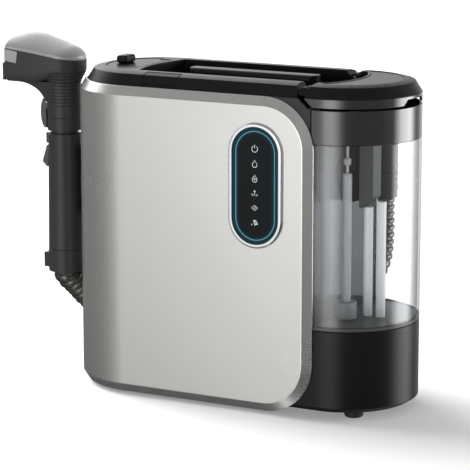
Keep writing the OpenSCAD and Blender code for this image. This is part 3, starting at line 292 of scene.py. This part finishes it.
# dark glass with a lit line near its edge: deep teal outside the line, a short glow inside it
controlPanel = {
    "centre": (0.093, 0.2196), "straight": 0.031, "ring": 0.0202, "lineFade": (0.00016, 0.00064),
    "glow": 0.0045, "shine": 0.12, "dustScale": 300.0, "dustGloss": 0.03,
    "unlit": (0.0, 0.0, 0.0, 1.0), "teal": (0.001, 0.022, 0.036, 1.0), "line": (0.11, 0.33, 0.40, 1.0),
    "glass": (0.005, 0.006, 0.007, 1.0),
}


def pillDistance(paint, facts):  # distance from the pill's middle line, on the front face
    centreX, centreZ = facts["centre"]
    across = paint.along("X") - centreX
    rise = (abs(paint.along("Z") - centreZ) - facts["straight"]).atLeast(0.0)
    return (across * across + rise * rise) ** 0.5


def darkGlass(name, rough):
    paint = newPaint(name)
    facts = controlPanel
    away = pillDistance(paint, facts) - facts["ring"]
    line = paint.ramp(abs(away), *facts["lineFade"], start=1.0, end=0.0)
    teal = paint.ramp(away, -facts["glow"], 0.0)
    gloss = rough + facts["dustGloss"] * paint.spread(facts["dustScale"])
    lit = paint.tint(line, paint.tint(teal, facts["unlit"], facts["teal"]), facts["line"])
    return paint.finish(paint.plastic(Base_Color=facts["glass"], Roughness=gloss, Emission_Color=lit,
                                      Specular_IOR_Level=facts["shine"], Emission_Strength=1.0))


def hosePlastic():
    paint = newPaint("hosePlastic")
    tones = twoTone(paint, scale=18.0, dark=(0.020, 0.020, 0.016, 1.0), light=(0.040, 0.039, 0.032, 1.0),
                    rough=0.16, swing=0.08)
    grain = paint.bump(paint.spread(scale=700.0), distance=0.00002, strength=0.4)
    return paint.finish(paint.plastic(Coat_Weight=0.4, Normal=grain, **tones))


def circuitBoard():
    paint = newPaint("circuitBoard")
    tracks = paint.node("ShaderNodeTexBrick", None, {"Vector": paint.spot(), "Scale": 220.0}, "Fac")
    colours = paint.tint(tracks, (0.02, 0.10, 0.05, 1.0), (0.06, 0.22, 0.10, 1.0))
    return paint.finish(paint.plastic(Base_Color=colours, Roughness=0.35 + 0.1 * tracks))


# the wall behind the tank is a paler and glossier facing on the black frame
frameFacts = {"wall": (0.05, 0.052, 0.054, 1.0), "wallTurn": (0.9, 0.96), "wallGloss": 0.15}


def frameMoulding():
    paint = newPaint("frameMoulding")
    wall = paint.ramp(paint.facing((1.0, 0.0, 0.0)), *frameFacts["wallTurn"])
    tones = twoTone(paint, scale=24.0, dark=(0.010, 0.010, 0.011, 1.0), light=(0.014, 0.014, 0.015, 1.0),
                    rough=0.42, swing=0.05)
    tones["Base_Color"] = paint.tint(wall, tones["Base_Color"], frameFacts["wall"])
    tones["Roughness"] = tones["Roughness"] - frameFacts["wallGloss"] * wall
    grain = paint.bump(paint.spread(scale=1500.0), distance=0.00002, strength=0.6)
    return paint.finish(paint.plastic(Normal=grain, **tones))


finishes = {
    "silver_shell": silverLacquer("silverLacquer", (0.732, 0.73, 0.71), 0.27, 0.9),
    "black_moulding": moulding("blackMoulding", (0.007, 0.007, 0.008), 0.31, grain=0.00001, shine=0.2),
    "gloss_black": moulding("glossBlack", (0.012, 0.012, 0.013), 0.10, grain=0.000004, uneven=0.05,
                            coat=0.5),
    "soft_black": moulding("softBlack", (0.018, 0.018, 0.018), 0.72, grain=0.00005, grainScale=900.0),
    "bright_trim": brightTrim(),
    "dark_glass": darkGlass("darkGlass", 0.04),
    "teal_light": darkGlass("tealLight", 0.12),
    "circuit_board": circuitBoard(),
    "screw_steel": moulding("screwSteel", (0.5, 0.51, 0.52), 0.32, metallic=1.0, uneven=0.08),
    "hose_plastic": hosePlastic(),
    "clear_tank": clearMoulding("clearTank", clear=(0.97, 0.975, 0.98, 1.0), edge=(0.55, 0.57, 0.58, 1.0),
                                wall=(0.95, 0.96, 0.97, 1.0), least=0.044, most=0.7, rough=0.03, mirror=1.0,
                                darkBelow=0.0892),
    "milky_plastic": milkyPlastic(),
    "duct_grey": moulding("ductGrey", (0.045, 0.050, 0.047), 0.35, uneven=0.06),
    "motor_grey": moulding("motorGrey", (0.11, 0.11, 0.12), 0.45),
    "cast_alloy": moulding("castAlloy", (0.55, 0.56, 0.57), 0.42, grain=0.00008, grainScale=600.0,
                           metallic=1.0),
    "handset_grey": moulding("handsetGrey", (0.028, 0.029, 0.031), 0.42, shine=0.3),
    "trigger_grey": moulding("triggerGrey", (0.062, 0.063, 0.066), 0.38),
    # the handset cover carries a painted sheen: lighter edge on, darker square on
    "handset_silver": silverLacquer("handsetSilver", (0.46, 0.465, 0.47), 0.36, 0.1, paintedSheen=0.45),
    "nose_clear": clearMoulding("noseClear", clear=(0.80, 0.82, 0.83, 1.0), edge=(0.45, 0.47, 0.49, 1.0),
                                wall=(0.34, 0.345, 0.33, 1.0), least=0.85, most=0.95, rough=0.2),
}
print("finishes made:", len(finishes))


def addPiece(name, mesh):
    piece = bpy.data.objects.new(name, mesh)
    scene.collection.objects.link(piece)
    return piece


def settle(piece):  # the evaluated shape becomes the piece's own plain mesh
    graph = bpy.context.evaluated_depsgraph_get()
    shape = piece.evaluated_get(graph)
    mesh = bpy.data.meshes.new_from_object(shape, preserve_all_data_layers=True, depsgraph=graph)
    piece.modifiers.clear()
    if piece.type != "MESH":
        name = piece.name
        bpy.data.objects.remove(piece)
        return addPiece(name, mesh)
    piece.data = mesh
    return piece


# a small Geometry Nodes tree, with named inputs
class Growth:
    def __init__(self, name, inputs):
        self.tree = bpy.data.node_groups.new(name, "GeometryNodeTree")
        self.sockets = {}
        self.tree.interface.new_socket("Geometry", in_out="INPUT", socket_type="NodeSocketGeometry")
        self.tree.interface.new_socket("Geometry", in_out="OUTPUT", socket_type="NodeSocketGeometry")
        for label, kind in inputs.items():
            made = self.tree.interface.new_socket(label, in_out="INPUT", socket_type="NodeSocket" + kind)
            self.sockets[label] = made.identifier
        self.source = self.tree.nodes.new("NodeGroupInput")
        self.sink = self.tree.nodes.new("NodeGroupOutput")

    def node(self, kind, settings=None, sockets=None):
        made = self.tree.nodes.new(kind)
        for key, value in (settings or {}).items():
            setattr(made, key, value)
        for key, value in (sockets or {}).items():
            if isinstance(value, bpy.types.NodeSocket):
                self.tree.links.new(value, made.inputs[key])
            else:
                made.inputs[key].default_value = value
        return made.outputs[0]

    def maths(self, operation, first, second=0.0):
        return self.node("ShaderNodeMath", {"operation": operation}, {0: first, 1: second})

    def close(self, shape):
        solid = self.node("GeometryNodeRealizeInstances", None, {"Geometry": shape})
        coat = {"Geometry": solid, "Material": self.source.outputs["Finish"]}
        dressed = self.node("GeometryNodeSetMaterial", None, coat)
        self.tree.links.new(dressed, self.sink.inputs["Geometry"])

    def grow(self, piece, values):
        modifier = piece.modifiers.new("growth", "NODES")
        modifier.node_group = self.tree
        for label, value in values.items():
            modifier[self.sockets[label]] = value
        return settle(piece)


def openLines(name, lines):  # a curve object of straight-segment lines
    data = bpy.data.curves.new(name, "CURVE")
    data.dimensions = "3D"
    for points, closed in lines:
        line = data.splines.new("POLY")
        line.points.add(len(points) - 1)
        for spot, point in zip(line.points, points):
            spot.co = (*point, 1.0)
        line.use_cyclic_u = closed
    return addPiece(name, data)


# the suction hose, from its socket behind the tank round the hooks to the handset;
# its widths in metres, its places in millimetres on the machine's axes
hose = {
    "outer": 0.028, "neck": 0.0226, "ribs": 150, "sides": 24, "rings": 8,
    "socket": [(94, 95, 200), (94, 95, 172), (94, 95, 145), (91, 95, 122)],
    "rearPlane": 95,
    "rear": [(80, 102), (63, 91), (44, 88), (15, 88), (-20, 88), (-55, 88), (-84, 88), (-108, 94),
             (-126, 111), (-132, 134), (-126, 157), (-108, 174), (-86, 180), (-52, 180), (-22, 180),
             (5, 190), (16, 216), (5, 242), (-20, 252), (-60, 252), (-100, 252), (-135, 247)],
    "handset": -212,
    "left": [(52, -2, 228), (42, -4, 198), (38, -5, 160), (35, -6, 120), (33, -10, 84), (30, -20, 56),
             (24, -37, 46), (18, -52, 56)],
    "bend": (-217, 0, 101.5), "tilt": 44.0, "turn": 67.0, "steps": (50.0, 28.0, 9.0),
    "gripEnd": (-212, 0, 111), "fixed": (-180, 84, 60), "loose": (-206, 14, 60), "ribPower": 0.7,
}


def hoseRoute(facts):
    tilt, turn = math.radians(facts["tilt"]), math.radians(facts["turn"])
    out = Vector((math.sin(tilt) * math.cos(turn), math.sin(tilt) * math.sin(turn), -math.cos(tilt)))
    spots = [Vector(spot) for spot in facts["socket"]]
    spots += [Vector((x, facts["rearPlane"], z)) for x, z in facts["rear"]]
    spots += [Vector((facts["handset"] + x, facts["rearPlane"] + y, z)) for x, y, z in facts["left"]]
    spots += [Vector(facts["bend"]) + out * step for step in facts["steps"]]
    return [place(*spot) for spot in spots + [facts["gripEnd"]]]


def smoothLine(spots, steps=14):  # a curve through every point, its slopes from the neighbours
    line = []
    for index in range(len(spots) - 1):
        start, end = spots[index], spots[index + 1]
        before, after = spots[max(index - 1, 0)], spots[min(index + 2, len(spots) - 1)]
        first, second = start + (end - before) / 6.0, end - (after - start) / 6.0
        for step in range(steps):
            t = step / steps
            near = start * (1 - t) ** 3 + first * 3 * t * (1 - t) ** 2
            line.append(near + second * 3 * t * t * (1 - t) + end * t ** 3)
    return line + [spots[-1]]


def makeHose(facts):
    growth = Growth("hoseRibs", {"Outer": "Float", "Neck": "Float", "Ribs": "Int", "Rings": "Int",
                                 "Sides": "Int", "Finish": "Material"})
    given = growth.source.outputs
    count = growth.maths("ADD", growth.maths("MULTIPLY", given["Ribs"], given["Rings"]), 1.0)
    line = growth.node("GeometryNodeResampleCurve", None, {"Curve": given["Geometry"], "Count": count})
    share = growth.node("GeometryNodeSplineParameter")
    turn = growth.maths("MULTIPLY", growth.maths("MULTIPLY", share, given["Ribs"]), math.pi)
    wave = growth.maths("POWER", growth.maths("ABSOLUTE", growth.maths("SINE", turn)), facts["ribPower"])
    lift = growth.maths("MULTIPLY", growth.maths("SUBTRACT", given["Outer"], given["Neck"]), wave)
    radius = growth.maths("MULTIPLY", growth.maths("ADD", given["Neck"], lift), 0.5)
    circle = {"Resolution": given["Sides"], "Radius": 1.0}
    ring = growth.node("GeometryNodeCurvePrimitiveCircle", None, circle)
    sweep = {"Curve": line, "Profile Curve": ring, "Scale": radius, "Fill Caps": True}
    tube = growth.node("GeometryNodeCurveToMesh", None, sweep)
    growth.close(growth.node("GeometryNodeSetShadeSmooth", None, {"Geometry": tube}))
    path = smoothLine(hoseRoute(facts))
    piece = growth.grow(openLines("ribbedHose", [(path, False)]), {
        "Outer": facts["outer"], "Neck": facts["neck"], "Ribs": facts["ribs"], "Rings": facts["rings"],
        "Sides": facts["sides"], "Finish": finishes["hose_plastic"]})
    length = sum((end - start).length for start, end in zip(path, path[1:]))
    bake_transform(piece)
    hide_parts("suction_hose")


makeHose(hose)
print("hose laid")


# every visible moulding again with its edges broken, as a tool leaves them; widths in millimetres
edgeBreak = {
    "sharpAngle": 30.0, "flatAngle": 0.4, "weld": 1e-6, "segments": 2,
    "widths": {
        "front_shell": 0.4, "rear_shell": 0.4, "top_deck": 0.6, "carry_handle": 0.9, "filler_flap": 0.5,
        "flap_tab": 2.6, "front_latch": 0.5, "rear_latch": 0.5, "tank_lid": 0.6, "lid_panel": 0.4,
        "lid_skirt": 0.4, "tank_collar": 0.5, "tank_shell": 0.4, "base_tray": 0.7, "rubber_feet": 0.5,
        "control_bezel": 0.35, "control_glass": 0.4, "vent_grille": 0.3, "cable_gland": 0.4,
        "hose_socket": 0.5, "hose_cuff": 0.4, "hose_hooks": 0.5, "handset_dock": 0.5, "core_frame": 0.3,
        "grip_front": 0.4, "grip_rear": 0.4, "hose_collar": 0.5, "hanger": 0.5, "head_body": 0.3,
        "mouth_lip": 0.4, "steam_trigger": 0.7, "lock_button": 0.5, "spray_trigger": 0.7,
        "inlet_block": 0.4, "inlet_duct": 0.4, "stand_pipes": 0.25, "float_guide": 0.3, "tank_float": 0.4,
    },
}
ownFinishes = {  # mouldings that differ from their slot's finish
    "core_frame": frameMoulding(),
    "float_guide": clearMoulding("clearTube", clear=(0.86, 0.87, 0.88, 1.0), edge=(0.3, 0.31, 0.32, 1.0),
                                 wall=(0.74, 0.75, 0.76, 1.0), least=0.5, most=0.8, rough=0.08),
    "tank_float": moulding("floatGrey", (0.3, 0.31, 0.31), 0.35, uneven=0.06),
}


def softCopy(name, width, facts):
    source = nodes[name].data
    mesh = bpy.data.meshes.new(name + "Moulded")
    mesh.from_pydata([v.co[:] for v in source.vertices], [], [p.vertices[:] for p in source.polygons])
    work = bmesh.new()
    work.from_mesh(mesh)
    bmesh.ops.remove_doubles(work, verts=work.verts, dist=facts["weld"])
    flat, sharp = math.radians(facts["flatAngle"]), math.radians(facts["sharpAngle"])
    bmesh.ops.dissolve_limit(work, angle_limit=flat, verts=work.verts, edges=work.edges)
    work.to_mesh(mesh)
    work.free()
    mesh.shade_smooth()
    mesh.set_sharp_from_angle(angle=sharp)
    piece = addPiece(name + "Moulded", mesh)
    edge = piece.modifiers.new("edge", "BEVEL")
    edge.width = width * millimetre
    edge.segments = facts["segments"]
    edge.limit_method = "ANGLE"
    edge.angle_limit = sharp
    edge.use_clamp_overlap = False
    edge.harden_normals = True
    piece = settle(piece)
    piece.data.materials.clear()
    piece.data.materials.append(ownFinishes.get(name) or finishes[slotOf[name]])
    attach(piece, bodyOf[name])
    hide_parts(name)


for nodeName, edgeWidth in edgeBreak["widths"].items():
    softCopy(nodeName, edgeWidth, edgeBreak)
for nodeName, node in nodes.items():  # the CAD nodes keep their meshes and take a finish
    node.data.materials.clear()
    node.data.materials.append(finishes[slotOf[nodeName]])
print("edges broken on", len(edgeBreak["widths"]), "mouldings")


# the handset's silver cover: a smooth dome over the head's plan, its crown along a spine from nose to back;
# millimetres from the grip's axis
headCover = {
    "axis": (-212, 0, 317.5), "tilt": 8.0, "nose": -52.7, "half": (27.0, 22.8), "backEnd": 6.0, "edge": 2.4,
    "fullness": 0.72, "ringPower": 1.5, "parting": 0.15,
    "rings": 14, "sides": 26, "turns": 30, "across": 18,
    "crown": [(-53, 12.6), (-46, 15.2), (-38, 17.2), (-29, 17.8), (-20, 17.1), (-11, 15.7), (-2, 14.2),
              (6, 12.6)],
    "weld": 1e-6, "sharpAngle": 40.0, "crownSteps": 6,
}


def coverRim(facts):  # points round the cover's plan, each with its point on the spine
    nose, back, (noseHalf, backHalf) = facts["nose"], facts["backEnd"], facts["half"]
    rim = []
    for i in range(facts["across"]):  # along the nose
        rim.append(((nose, noseHalf * (2.0 * i / facts["across"] - 1.0)), nose))
    for i in range(facts["sides"]):  # back along one side
        x = nose * (1.0 - i / facts["sides"])
        rim.append(((x, noseHalf + (backHalf - noseHalf) * (1.0 - x / nose)), min(x, back)))
    for i in range(facts["turns"] + 1):  # round the back
        angle = math.radians(90.0 - 180.0 * i / facts["turns"])
        x = backHalf * math.cos(angle)
        rim.append(((x, backHalf * math.sin(angle)), min(x, back)))
    for i in range(1, facts["sides"]):  # and along the other side
        x = nose * i / facts["sides"]
        rim.append(((x, -noseHalf - (backHalf - noseHalf) * (1.0 - x / nose)), min(x, back)))
    return rim


def crownHeight(facts, x):
    spots = [Vector((at, 0.0, height)) for at, height in facts["crown"]]
    line = smoothLine(spots, facts["crownSteps"])
    for first, second in zip(line, line[1:]):
        if x <= second.x:
            return first.z + (second.z - first.z) * max(0.0, x - first.x) / (second.x - first.x)
    return line[-1].z


def makeCover(facts):
    rim = coverRim(facts)
    lean = math.radians(facts["tilt"])
    axis = Vector(facts["axis"])

    def spot(x, y, z):  # from the head's tilted axes
        along = axis.x + x * math.cos(lean) + z * math.sin(lean)
        return place(along, y, axis.z - x * math.sin(lean) + z * math.cos(lean))

    work = bmesh.new()
    loops = [[work.verts.new(spot(x, y, facts["parting"])) for (x, y), spine in rim]]
    for ring in range(facts["rings"] + 1):
        share = (ring / facts["rings"]) ** facts["ringPower"]
        bulge = (1.0 - (1.0 - share) ** 2) ** facts["fullness"]
        loop = []
        for (x, y), spine in rim:
            height = facts["edge"] + (crownHeight(facts, spine) - facts["edge"]) * bulge
            loop.append(work.verts.new(spot(x + (spine - x) * share, y * (1.0 - share), height)))
        loops.append(loop)
    count = len(rim)
    for lower, upper in zip(loops, loops[1:]):
        for i in range(count):
            work.faces.new((lower[i], lower[(i + 1) % count], upper[(i + 1) % count], upper[i]))
    work.faces.new(loops[0])
    bmesh.ops.remove_doubles(work, verts=work.verts, dist=facts["weld"])
    bmesh.ops.dissolve_degenerate(work, edges=work.edges, dist=facts["weld"])
    bmesh.ops.recalc_face_normals(work, faces=work.faces)
    mesh = bpy.data.meshes.new("headCoverMoulded")
    work.to_mesh(mesh)
    work.free()
    mesh.shade_smooth()
    mesh.set_sharp_from_angle(angle=math.radians(facts["sharpAngle"]))
    mesh.materials.append(finishes["handset_silver"])
    piece = addPiece("headCoverMoulded", mesh)
    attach(piece, bodyOf["head_cover"])
    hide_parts("head_cover")


makeCover(headCover)
print("handset cover formed")


# touch symbols on the glass, drawn as fine lines; strokes in metres, places in millimetres
symbols = {
    "x": 44.6, "top": 254.4, "pitch": 13.88, "face": -79.36, "stroke": 0.00027, "flatten": 0.35, "sides": 8,
}


def arc(cx, cz, radius, start, end, count=16):  # angles in degrees
    angles = [math.radians(start + (end - start) * i / count) for i in range(count + 1)]
    return [(cx + radius * math.cos(a), cz + radius * math.sin(a)) for a in angles]


def drop(cx, cz, size):  # a water drop: a tip over a round belly
    return [(cx, cz + 1.55 * size)] + arc(cx, cz - 0.25 * size, size, 32.0, -212.0, 18)


def symbolLines():  # each stroke as its points and whether it closes
    power = [(arc(0, 0, 3.0, 125.0, 415.0), False), ([(0, 0.8), (0, 3.9)], False)]
    spray = [(drop(0, -0.4, 2.4), True)]
    sprayMore = [(drop(0, -0.4, 2.4), True), ([(-1.0, -0.6), (0.2, 0.6)], False),
                 ([(-0.6, -1.7), (1.1, -0.1)], False)]
    steam = [([(0, -1.8), (0, 2.6)], False), ([(-1.0, 1.4), (0, 2.8), (1.0, 1.4)], False),
             (arc(0, 0.6, 3.3, 200.0, 250.0, 8), False), (arc(0, 0.6, 3.3, 290.0, 340.0, 8), False)]
    clean = [([(0, 2.4), (3.3, 0), (0, -2.4), (-3.3, 0)], True),
             ([(-0.9, 0.1), (-0.2, -0.7), (1.1, 0.8)], False)]
    jug = [([(-1.4, 1.9), (1.1, 2.3), (3.4, -1.3), (0.2, -2.6)], True),
           (arc(-2.9, -1.9, 0.3, 0.0, 330.0, 8), True)]
    for i in range(4):  # strokes that fill the jug
        jug.append(([(-1.3 + 0.5 * i, 1.6 - 1.1 * i), (1.2 + 0.6 * i, 2.0 - 0.95 * i)], False))
    lines = []
    for row, strokes in enumerate((power, spray, sprayMore, steam, clean, jug)):
        level = symbols["top"] - row * symbols["pitch"]
        for points, closed in strokes:
            spots = [place(symbols["x"] + x, symbols["face"], level + z) for x, z in points]
            lines.append((spots, closed))
    return lines


def symbolInk():
    paint = newPaint("symbolInk")
    cloud = paint.spread(400.0)
    lit = paint.tint(cloud, (0.50, 0.55, 0.56, 1.0), (0.62, 0.66, 0.67, 1.0))
    return paint.finish(paint.plastic(Base_Color=(0.5, 0.52, 0.52, 1.0), Roughness=0.35 + 0.1 * cloud,
                                      Emission_Color=lit, Emission_Strength=0.55))


def makeSymbols(facts):
    growth = Growth("symbolStrokes", {"Stroke": "Float", "Flatten": "Float", "Middle": "Vector",
                                      "Finish": "Material"})
    given = growth.source.outputs
    circle = {"Resolution": facts["sides"], "Radius": given["Stroke"]}
    ring = growth.node("GeometryNodeCurvePrimitiveCircle", None, circle)
    sweep = {"Curve": given["Geometry"], "Profile Curve": ring, "Fill Caps": True}
    tube = growth.node("GeometryNodeCurveToMesh", None, sweep)
    squeeze = growth.node("ShaderNodeCombineXYZ", None, {0: 1.0, 1: given["Flatten"], 2: 1.0})
    middle = given["Middle"]
    moved = growth.node("ShaderNodeVectorMath", {"operation": "MULTIPLY"}, {0: middle, 1: squeeze})
    back = growth.node("ShaderNodeVectorMath", {"operation": "SUBTRACT"}, {0: middle, 1: moved})
    press = {"Geometry": tube, "Scale": squeeze, "Translation": back}  # flattens the tubes where they lie
    flat = growth.node("GeometryNodeTransform", None, press)
    growth.close(growth.node("GeometryNodeSetShadeSmooth", None, {"Geometry": flat}))
    piece = growth.grow(openLines("panelSymbols", symbolLines()), {
        "Stroke": facts["stroke"], "Flatten": facts["flatten"],
        "Middle": place(facts["x"], facts["face"], facts["top"]), "Finish": symbolInk()})
    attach(piece, "machine")


makeSymbols(symbols)
print("symbols drawn")


# studio: a pale floor, a soft box in front, another to the right and behind, a soft sun from the left;
# "round" holds the boxes' light level by angle round the part, from the front to the right
studio = {
    "floor": 40.0, "floorGlow": 0.24, "peak": 8.0,
    "round": [(-180, 0.9), (-166, 0.7), (-150, 0.16), (-97, 0.14), (-73, 0.2), (-60, 0.28), (-49, 0.42),
              (-39, 0.6), (-33, 0.82), (-28, 1.12), (-24, 1.35), (-17, 1.9), (-8, 4.2), (2, 4.4), (9, 3.0),
              (15, 1.3), (22, 0.45), (35, 0.25), (80, 0.3), (100, 0.6), (108, 4.0), (116, 8.0), (136, 8.0),
              (142, 5.0), (150, 1.2), (158, 0.4), (180, 0.9)],
    "low": (-0.34, -0.14, 0.25), "high": (0.12, 0.42), "upper": 0.28,
    "behind": (-0.85, 0.45, 0.2), "behindRamp": (0.68, 0.95), "behindRise": (0.0, 0.16),
    "behindLight": 1.8,
    "sun": (-0.66, 0.2, 0.72), "sunPower": 4.0, "sunSpread": 44.0,
}


def makeFloor(facts):
    half = facts["floor"]
    corners = [(-half, -half, 0), (half, -half, 0), (half, half, 0), (-half, half, 0)]
    mesh = bpy.data.meshes.new("studioFloor")
    mesh.from_pydata(corners, [], [(0, 1, 2, 3)])
    floor = addPiece("studioFloor", mesh)
    floor.visible_glossy = False
    paint = newPaint("studioFloor")
    colours = paint.tint(paint.spread(0.7), (0.82, 0.82, 0.82, 1.0), (0.86, 0.86, 0.86, 1.0))
    glow = shade((1.0, 1.0, 1.0), facts["floorGlow"])
    shader = paint.plastic(Base_Color=colours, Roughness=0.9, Specular_IOR_Level=0.0, Emission_Color=glow,
                           Emission_Strength=1.0)
    mesh.materials.append(paint.finish(shader))


def makeSurround(facts):
    world = bpy.data.worlds.new("studioSurround")
    scene.world = world
    paint = Paint(world, "ShaderNodeOutputWorld")
    way = paint.node("ShaderNodeTexCoord", None, None, "Generated")
    across, depth, rise = (paint.node("ShaderNodeSeparateXYZ", None, {0: way}, i) for i in range(3))
    angle = across.maths("ARCTAN2", across, depth * -1.0)
    turn = angle * (0.5 / math.pi) + 0.5  # 0 to 1 round the part, 0.5 in front
    stops = [((degrees + 180.0) / 360.0, level / facts["peak"]) for degrees, level in facts["round"]]
    boxes = paint.node("ShaderNodeValToRGB", {"stops": stops}, {0: turn}) * facts["peak"]
    lowStart, lowEnd, lowest = facts["low"]
    boxes = boxes * paint.ramp(rise, lowStart, lowEnd, start=lowest)
    boxes = boxes * paint.ramp(rise, *facts["high"], start=1.0, end=0.0)
    upper = paint.ramp(rise, *facts["high"]) * facts["upper"]
    aim = {0: way, 1: tuple(Vector(facts["behind"]).normalized())}
    rear = paint.node("ShaderNodeVectorMath", {"operation": "DOT_PRODUCT"}, aim, 1)
    raised = paint.ramp(rise, *facts["behindRise"]) * facts["behindLight"]
    light = boxes + upper + paint.ramp(rear, *facts["behindRamp"]) * raised
    camera = paint.node("ShaderNodeLightPath", None, None, "Is Camera Ray")
    shown = light + (1.0 - light) * camera
    white = (1.0, 1.0, 1.0, 1.0)
    paint.finish(paint.node("ShaderNodeBackground", None, {"Color": white, "Strength": shown}))


def makeSun(facts):
    data = bpy.data.lights.new("softSun", "SUN")
    data.energy = facts["sunPower"]
    data.angle = math.radians(facts["sunSpread"])
    lamp = bpy.data.objects.new("softSun", data)
    lamp.rotation_euler = Vector(facts["sun"]).to_track_quat("Z", "Y").to_euler()
    lamp.visible_glossy = False
    scene.collection.objects.link(lamp)


makeFloor(studio)
makeSurround(studio)
makeSun(studio)
scene.view_settings.view_transform = "Standard"
scene.view_settings.look = "None"
print("studio lit")
